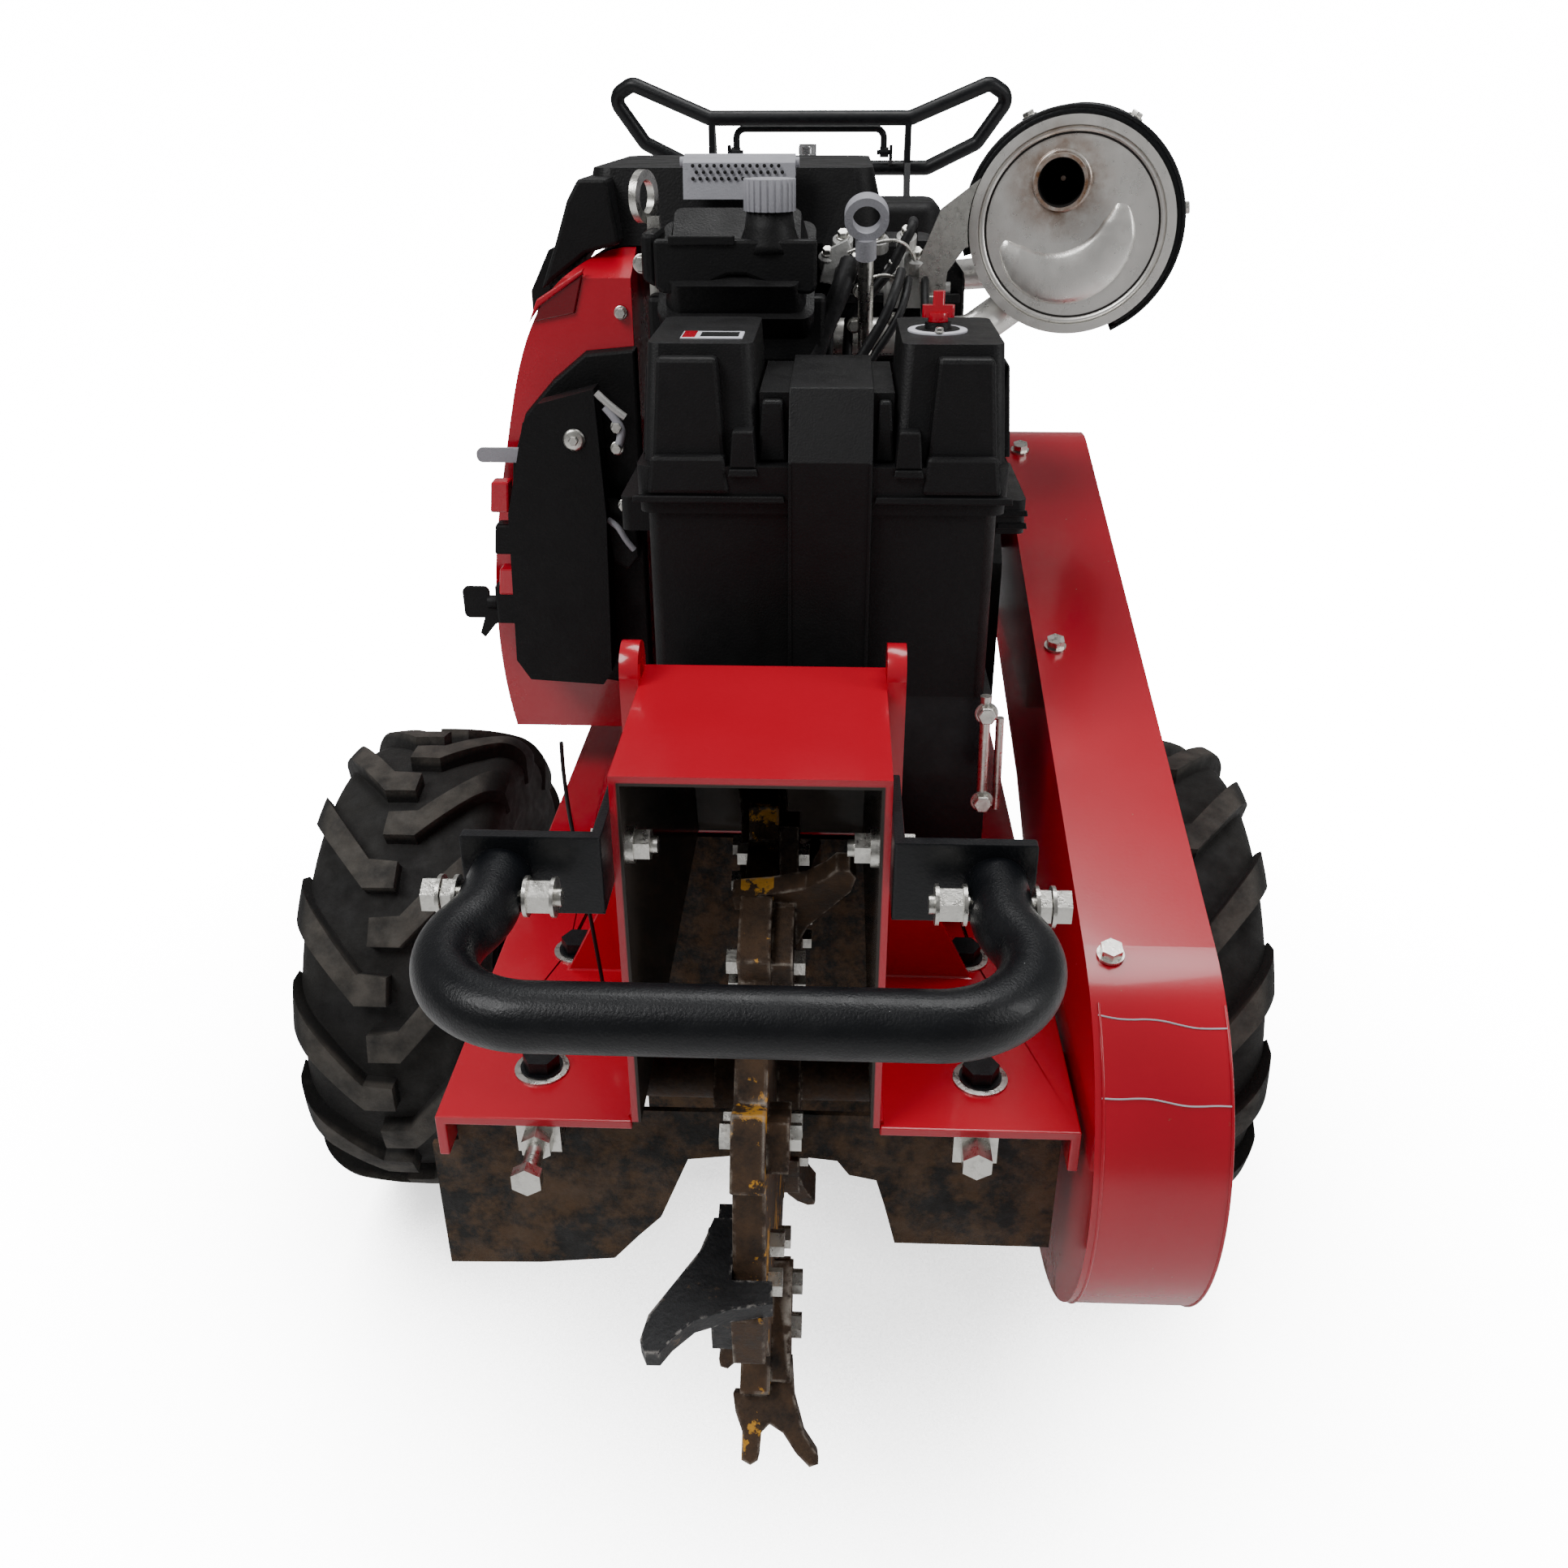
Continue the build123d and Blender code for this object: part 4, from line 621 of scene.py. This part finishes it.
def yawed(x, y, z):
    """A point given as if the drum lay along Y, turned with the drum."""
    dx, dy = x - DRUM[0], y - DRUM[1]
    return (DRUM[0] + dx * math.cos(YAW) + dy * math.sin(YAW),
            DRUM[1] - dx * math.sin(YAW) + dy * math.cos(YAW), z)


def round_drum(radius, angle, y):
    """A point at a radius and angle about the drum's axis."""
    return yawed(DRUM[0] + radius * math.cos(angle), y, DRUM[2] + radius * math.sin(angle))


OUTWARD = (-math.sin(YAW), -math.cos(YAW), 0)


def grid_faces(rows, across):
    """Faces of a sheet of rows by across cells, its corners numbered along across first."""
    return [(k, k + 1, k + across + 2, k + across + 1)
            for i in range(rows) for k in range(i * (across + 1), i * (across + 1) + across)]


def silencer_crescent():
    """The banana pressed into the end plate: an outer arc and an inner one about another centre."""
    steps, across = 48, 16
    verts = []
    for i in range(steps + 1):
        t = i / steps
        outer = math.radians(197 + 184 * t)
        inner = math.radians(224 + 128 * t)
        ax, az = -5.3 + 55 * math.cos(outer), -2.8 + 55 * math.sin(outer)
        bx, bz = -15.4 + 44 * math.cos(inner), 24.8 + 44 * math.sin(inner)
        end = min(1, 7 * t, 7 * (1 - t)) ** 0.5
        for j in range(across + 1):
            s = 0.5 + (j / across - 0.5) * (0.35 + 0.65 * end)
            rise = 4.6 * end * math.sin(math.pi * j / across) ** 0.45
            verts.append(yawed(DRUM[0] + ax + (bx - ax) * s, FACE_Y + 0.3 - rise,
                               DRUM[2] + az + (bz - az) * s))
    piece("silencer_crescent", verts, grid_faces(steps, across), "exhaust_steel", smooth=True)


def silencer_rings():
    """The stepped rim with a thin black ring of painted shade in its groove, the lining of the
    tailpipe and the weld at its root.
    """
    middle = yawed(DRUM[0], FACE_Y, DRUM[2])
    lathe("silencer_step", [(71.5, 0), (71.5, 1.6), (69.5, 2.6), (67.5, 1.2), (67.0, 0)],
          middle, OUTWARD, "exhaust_steel", steps=96, hollow=True)
    # A thin black ring along the rim: painted shade in the groove.
    lathe("silencer_groove", [(67.2, 0), (67.2, 0.7), (65.8, 0.7), (65.8, 0)],
          middle, OUTWARD, "soot", steps=96, hollow=True)
    inward = tuple(-c for c in OUTWARD)
    lathe("tailpipe_lining", [(17.35, 0.2), (17.35, 50), (2, 56), (2, 55), (17.0, 49), (17.0, 0.2)],
          yawed(213, -147.4, 950), inward, "soot", hollow=True)
    lathe("tailpipe_weld", [(20.0, 0), (22.5, 0.6), (23.0, 2.0), (20.3, 4.2)],
          yawed(213, FACE_Y, 950), OUTWARD, "exhaust_steel", steps=60, hollow=True)


def shield_angles(steps):
    return [SHIELD_FROM + (SHIELD_TO - SHIELD_FROM) * i / steps for i in range(steps + 1)]


def shield_sheet():
    """The punched sheet: every second cell of every second row is left open, but not at the rim."""
    turns, rows = 112, 46
    verts = [round_drum(SHIELD_R, a, SHIELD_Y + SHIELD_LENGTH * j / rows)
             for a in shield_angles(turns) for j in range(rows + 1)]
    faces = []
    for number, face in enumerate(grid_faces(turns, rows)):
        i, j = divmod(number, rows)
        rim = i < 3 or i >= turns - 3 or j < 1 or j >= rows - 2
        if rim or i % 2 or j % 2:
            faces.append(face)
    shield = piece("shield_punched", verts, faces, "black_paint")
    thick = shield.modifiers.new("sheet", "SOLIDIFY")
    thick.thickness = 0.0012
    thick.offset = 0
    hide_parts("heat_shield")


def shield_edge():
    """The rolled front edge, the lip turned in from it and the three screws."""
    hose("shield_rolled_edge", [round_drum(SHIELD_R, a, SHIELD_Y) for a in shield_angles(30)],
         1.6, "black_paint")
    lip = [round_drum(radius, a, y) for a in shield_angles(60)
           for radius, y in ((77.8, -109.0), (79.5, -110.6), (84.5, -111.6))]
    flange = piece("shield_front_lip", lip, grid_faces(60, 2), "black_paint", smooth=True)
    flange.modifiers.new("sheet", "SOLIDIFY").thickness = 0.0012
    for number, angle in enumerate((8, 62, 118)):
        a = math.radians(angle)
        out = (math.cos(a) * math.cos(YAW), -math.cos(a) * math.sin(YAW), math.sin(a))
        hex_bolt(f"shield_screw_{number}", round_drum(SHIELD_R + 0.8, a, -80), out, 9, 3.2)


# ---------------------------------------------------------------- battery
def battery_details():
    """Relief of the lid's towers, lip and saddle, the blank label and the isolator's plate."""
    for side, (x0, x1) in (("left", (-80, -30)), ("right", (104, 151))):
        wedge(f"lid_front_panel_{side}", (x0, x1), (-364, -330), (790, 858), 5, bevel=3)
        wedge(f"lid_foot_{side}", (x0 - 3, x1 + 3), (-373, -340), (772, 797), 3, bevel=3)
    for side, (x0, x1) in (("left", (-27, -9)), ("right", (83, 101))):
        wedge(f"lid_pocket_{side}", (x0, x1), (-371, -345), (789, 813), 2, bevel=1.2)
        wedge(f"lid_pocket_sill_{side}", (x0 - 1, x1 + 1), (-374, -365), (784, 789), 1, bevel=0.8)
    for side, (x0, x1) in (("left", (-9, 11)), ("right", (69, 83))):
        wedge(f"lid_saddle_rib_{side}", (x0, x1), (-357, -335), (790, 830), 3, bevel=2)
    wedge("lid_lip_left", (-93, 10), (-374, -368), (766.5, 771), 0.8, bevel=0.8)
    wedge("lid_lip_right", (70, 162), (-374, -368), (766.5, 771), 0.8, bevel=0.8)
    wedge("strap_edge_left", (12, 14.5), (-375.2, -373.5), (632, 794), 0.4, bevel=0.4)
    wedge("strap_edge_right", (65.5, 68), (-375.2, -373.5), (632, 794), 0.4, bevel=0.4)
    wedge("lid_shoulder_left", (-89, -78), (-338, -230), (790, 850), 4, bevel=2)
    wedge("lid_shoulder_right", (152, 162), (-338, -230), (790, 850), 4, bevel=2)
    for k in range(2):
        z = 738 + 9 * k
        wedge(f"vent_rib_{k}", (157, 178.5), (-331.5, -328), (z, z + 4), 0.8, bevel=0.6)
    wedge("label_plate", (-62, -20), (-327, -300), (865, 865.8), 0.4, "label_pale", bevel=0.2)
    wedge("label_corner", (-61, -52), (-326, -301), (865.7, 866.1), 0.2, "red_plastic", bevel=0.1)
    wedge("label_field", (-49, -23), (-323, -305), (865.7, 866.1), 0.2, "engine_black", bevel=0.1)
    lathe("isolator_plate", [(15.5, 0), (20.5, 0), (20.5, 1.0), (19.8, 1.5), (15.5, 1.5)],
          (112, -290, 865), (0, 0, 1), "label_pale", smooth=False, hollow=True)
    hex_bolt("isolator_screw", (112, -307.5, 866), (0, 0, 1), 5, 2.5)


# ---------------------------------------------------------------- engine
def fan_details():
    """The black inner part of the fan cover, its hollow drawn as a raised dark red plate of painted
    shade under a brow, and two bolts.
    """
    panel("fan_inner_shroud", [(-119, 829), (-161, 825), (-189, 803), (-215, 775), (-229, 735),
                               (-240, 640), (-240, 570), (-224, 545), (-119, 528)],
          -141, -131, "engine_black", bevel=2, shrink=0.02)
    # The hollow stands out from the cover as a thin plate of darker red: painted shade.
    panel("fan_recess", [(-203, 846), (-196, 861), (-159, 884), (-168, 853)],
          -134.4, -131, "red_shade", bevel=0.8, shrink=0.06)
    panel("fan_brow", [(-206, 846), (-198, 864), (-158, 888), (-160, 883), (-196, 859)],
          -136.0, -131, "red_plastic", bevel=1.2)
    hex_bolt("fan_bolt_top", (-112, -133, 891), (0, -1, 0), 11, 6)
    hex_bolt("fan_bolt_inner", (-131, -133, 854), (0, -1, 0), 8, 4)


def engine_panel_details():
    """Bolt, governor linkage, small switches on the edge and the key's fob."""
    hex_bolt("panel_bolt", (-168, -176, 762), (0, -1, 0), 7, 4)
    lathe("panel_bolt_cup", [(9, 0), (9, 1.2), (6.5, 2.2)], (-168, -176, 762), (0, -1, 0),
          "zinc_steel", steps=32)
    hose("governor_link", [(-148, -174, 799), (-138, -175, 789), (-126, -174, 780)],
         3.0, "silver_cast")
    hose("governor_arc", [(-142, -173, 788), (-131, -174, 776), (-129, -174, 764),
                          (-135, -174, 752)], 3.4, "grey_plastic")
    hex_bolt("governor_bolt_0", (-133, -172, 772), (0, -1, 0), 8, 5)
    hex_bolt("governor_bolt_1", (-134, -172, 755), (0, -1, 0), 8, 5)
    hex_bolt("governor_bolt_2", (-132, -166, 706), (0, -1, 0), 8, 4)
    hose("governor_spring", [(-146, -168, 694), (-138, -170, 690), (-132, -168, 676),
                             (-126, -166, 668)], 2.6, "grey_plastic")
    panel("governor_bracket", [(-152, 710), (-126, 708), (-122, 660), (-132, 648), (-146, 655)],
          -160, -150, "engine_black", bevel=2)
    for number, (z0, z1) in enumerate(((700, 726), (664, 690), (628, 652))):
        panel(f"panel_edge_{number}", [(-244, z0), (-228, z0), (-226, z1), (-241, z1)],
              -172, -156, "red_plastic" if number % 2 == 0 else "engine_black", bevel=2)
    panel("key_fob", [(-255, 620), (-243, 622), (-238, 606), (-252, 598), (-262, 586),
                      (-266, 590)], -164, -160, "engine_black", bevel=1)


def engine_shrouds():
    """The shoulder under the air cleaner and the finned right side behind the carburettor."""
    panel("air_cleaner_shoulder", [(-163, 951), (-173, 935), (-184, 905), (-199, 868),
                                   (-160, 896), (-132, 903), (-140, 951)],
          -112, -40, "engine_black", bevel=3)
    panel("engine_shroud_right", [(34, 700), (38, 886), (64, 906), (118, 906), (146, 880),
                                  (150, 700)], -96, -30, "engine_black", bevel=6)
    for number in range(7):
        z = 726 + 22 * number
        panel(f"shroud_fin_{number}", [(40, z), (40, z + 7), (142, z + 7), (142, z)],
              -104, -94, "engine_cast", bevel=1)


def head_details():
    """Scalloped skirt and flanks of the front head cover, the oil neck and the latch dots."""
    panel("head_skirt", [(-95, 914), (-95, 880), (-89, 876), (-60, 876), (-52, 884), (-40, 889),
                         (-26, 889), (-13, 884), (-9, 877), (23, 876), (27, 880), (27, 914)],
          -193, -182, "engine_black", bevel=2.5)
    panel("head_left_cheek", [(-106, 918), (-106, 884), (-94, 878), (-94, 918)],
          -182, -120, "engine_black", bevel=4)
    panel("head_lower", [(-104, 872), (-104, 836), (-90, 822), (24, 822), (34, 836), (34, 872)],
          -176, -150, "engine_black", bevel=4)
    lathe("oil_neck_flare", [(24, 0), (23, 6), (19, 16), (17.2, 28)], (-9, -172, 904), (0, 0, 1),
          "engine_black", steps=40)
    panel("head_badge_blank", [(-84, 910), (-84, 917), (-34, 917), (-34, 910)], -195.5, -191,
          "engine_black", bevel=1, shrink=0.03)
    for row in range(3):
        for column in range(13):
            x = -72 + column * 5.6 + (row % 2) * 2.8
            z = 960 - row * 4.6
            lathe(f"latch_dot_{row}_{column}", [(1.5, 0), (1.2, 0.7), (0.3, 0.9)],
                  (x, -110.6 - (957 - z) * 0.04, z), (0, -1, 0.1), "black_plastic", steps=8,
                  body="latch", smooth=False)


def carburettor_details():
    """Fittings, rods, hoses and leads between the head cover and the silencer bracket."""
    spots = ((34, -128, 888, 7, 12), (46, -124, 900, 8, 12), (56, -120, 884, 6, 10),
             (74, -122, 900, 8, 12), (96, -118, 902, 8, 12), (86, -122, 880, 7, 10),
             (104, -112, 884, 9, 14), (120, -104, 866, 8, 10))
    for number, (x, y, z, r, h) in enumerate(spots):
        lathe(f"carb_fitting_{number}", [(r * 0.7, 0), (r, 1), (r, h - 2), (r * 0.6, h)],
              (x, y, z), (0, -0.5, 0.86), "silver_cast", steps=20, smooth=False)
        hex_bolt(f"carb_nut_{number}", (x, y - h * 0.5, z + h * 0.86), (0, -0.5, 0.86), r, 4)
    panel("carb_lever", [(28, 878), (34, 902), (50, 910), (54, 900), (42, 890), (40, 876)],
          -138, -132, "silver_cast", bevel=1)
    hose("throttle_rod", [(50, -140, 900), (74, -146, 910), (98, -140, 908), (104, -120, 890)],
         1.4, "zinc_steel")
    hose("choke_rod", [(70, -140, 882), (88, -142, 888), (98, -136, 870)], 1.4, "zinc_steel")
    hose("fuel_hose", [(52, -150, 894), (47, -163, 880), (37, -166, 858), (28, -168, 836),
                       (16, -172, 800)], 8.2, "belt_rubber")
    hose("spark_lead", [(92, -140, 886), (87, -163, 874), (79, -167, 854), (66, -168, 834),
                        (50, -172, 806)], 4.2, "belt_rubber")
    hose("vent_hose", [(98, -136, 880), (95, -163, 866), (84, -167, 845), (69, -168, 824),
                       (58, -172, 800)], 3.4, "belt_rubber")
    hose("ignition_lead", [(112, -120, 880), (110, -150, 862), (116, -160, 836),
                           (112, -168, 800)], 3.2, "belt_rubber")
    for number, (x, z) in enumerate(((56, 846), (88, 850), (112, 842), (60, 872))):
        hex_bolt(f"manifold_bolt_{number}", (x, -140, z), (0, -1, 0), 9, 6)
    hex_bolt("bracket_bolt_0", (118, -124, 862), (0, -1, 0), 10, 5)


# ---------------------------------------------------------------- hood, guard and deck
GUARD_Y, GUARD_Z, GUARD_R = -490, 379.5, 150    # the round front, about the rotor's axis


def on_guard(x, degrees, lift=0.0):
    """A point on the guard's round front."""
    a = math.radians(degrees)
    return (x, GUARD_Y + (GUARD_R + lift) * math.cos(a), GUARD_Z + (GUARD_R + lift) * math.sin(a))


def guard_lines():
    """Thin pale lines of painted highlight where the face starts to bend, and a bead along both
    edges.
    """
    for number, (left, right) in enumerate(((125, 128), (144, 146))):
        points = [on_guard(212 + 79 * k / 8,
                           left + (right - left) * k / 8 + 0.5 * math.sin(k * 1.3 + number), 0.1)
                  for k in range(9)]
        # Each line is a painted highlight, pale grey, where the bend would catch the light.
        hose(f"guard_crease_{number}", points, 0.55, "scuff")
    for x, name in ((213.0, "inner"), (291.0, "outer")):
        hose(f"guard_edge_{name}", [on_guard(x, t) for t in range(122, 236, 6)], 1.1, "red_paint")


def deck_details():
    """Stay rods and a loose wire beside the battery, hood welds and bearing bolt rings."""
    hose("stay_rod_0", [(150, -400, 640), (151, -401, 600), (152, -402, 552)], 4.0, "zinc_steel")
    hose("stay_rod_1", [(162, -392, 620), (163, -392, 585), (164, -392, 548)], 3.0, "zinc_steel")
    hex_bolt("stay_bolt_0", (152, -404, 560), (0, -1, 0), 12, 6)
    hex_bolt("stay_bolt_1", (151, -402, 628), (0, -1, 0), 12, 6)
    hose("loose_wire", [(-118, -470, 436), (-124, -474, 520), (-132, -480, 600), (-130, -484, 640)],
         1.4, "belt_rubber")
    for side in (-1, 1):
        hose(f"hood_weld_{side + 1}", [(side * 79, -604 + 20 * k, 436.2) for k in range(8)],
             1.8, "red_paint")
        for y in (-558.5, -421.5):
            lathe(f"bolt_ring_{side + 1}_{int(-y)}", [(18, 0), (18, 1.4), (14.5, 1.8)],
                  (side * 145, y, 435), (0, 0, 1), "zinc_steel", steps=36, smooth=False)


def rear_curtain():
    """The thick rubber sheet hung across behind the rotor, with a worn lower edge."""
    steps = 26
    verts = []
    for y in (-230.0, -224.0):
        for k in range(steps + 1):
            x = -132 + 264 * k / steps
            bottom = 66 + 5 * math.sin(k * 1.9) + 3 * math.sin(k * 4.3)
            verts += [(x, y, bottom), (x, y, 250), (x, y, 426)]
    half = 3 * (steps + 1)
    faces = []
    for k in range(steps):
        for j in range(2):
            a = 3 * k + j
            faces.append((a, a + 1, a + 4, a + 3))
            faces.append((half + a, half + a + 3, half + a + 4, half + a + 1))
        for j in (0, 2):
            a = 3 * k + j
            faces.append((a, a + 3, half + a + 3, half + a))
    for k in (0, steps):
        for j in range(2):
            a = 3 * k + j
            faces.append((a, a + 1, half + a + 1, half + a))
    piece("rear_curtain", verts, faces, "flap_rubber")


# ---------------------------------------------------------------- the whole scene
paint_cad_parts()
soften_cad_parts()
silencer_crescent()
silencer_rings()
shield_sheet()
shield_edge()
battery_details()
fan_details()
engine_panel_details()
engine_shrouds()
head_details()
carburettor_details()
guard_lines()
deck_details()
rear_curtain()
place_camera()
lay_floor()
light_studio()
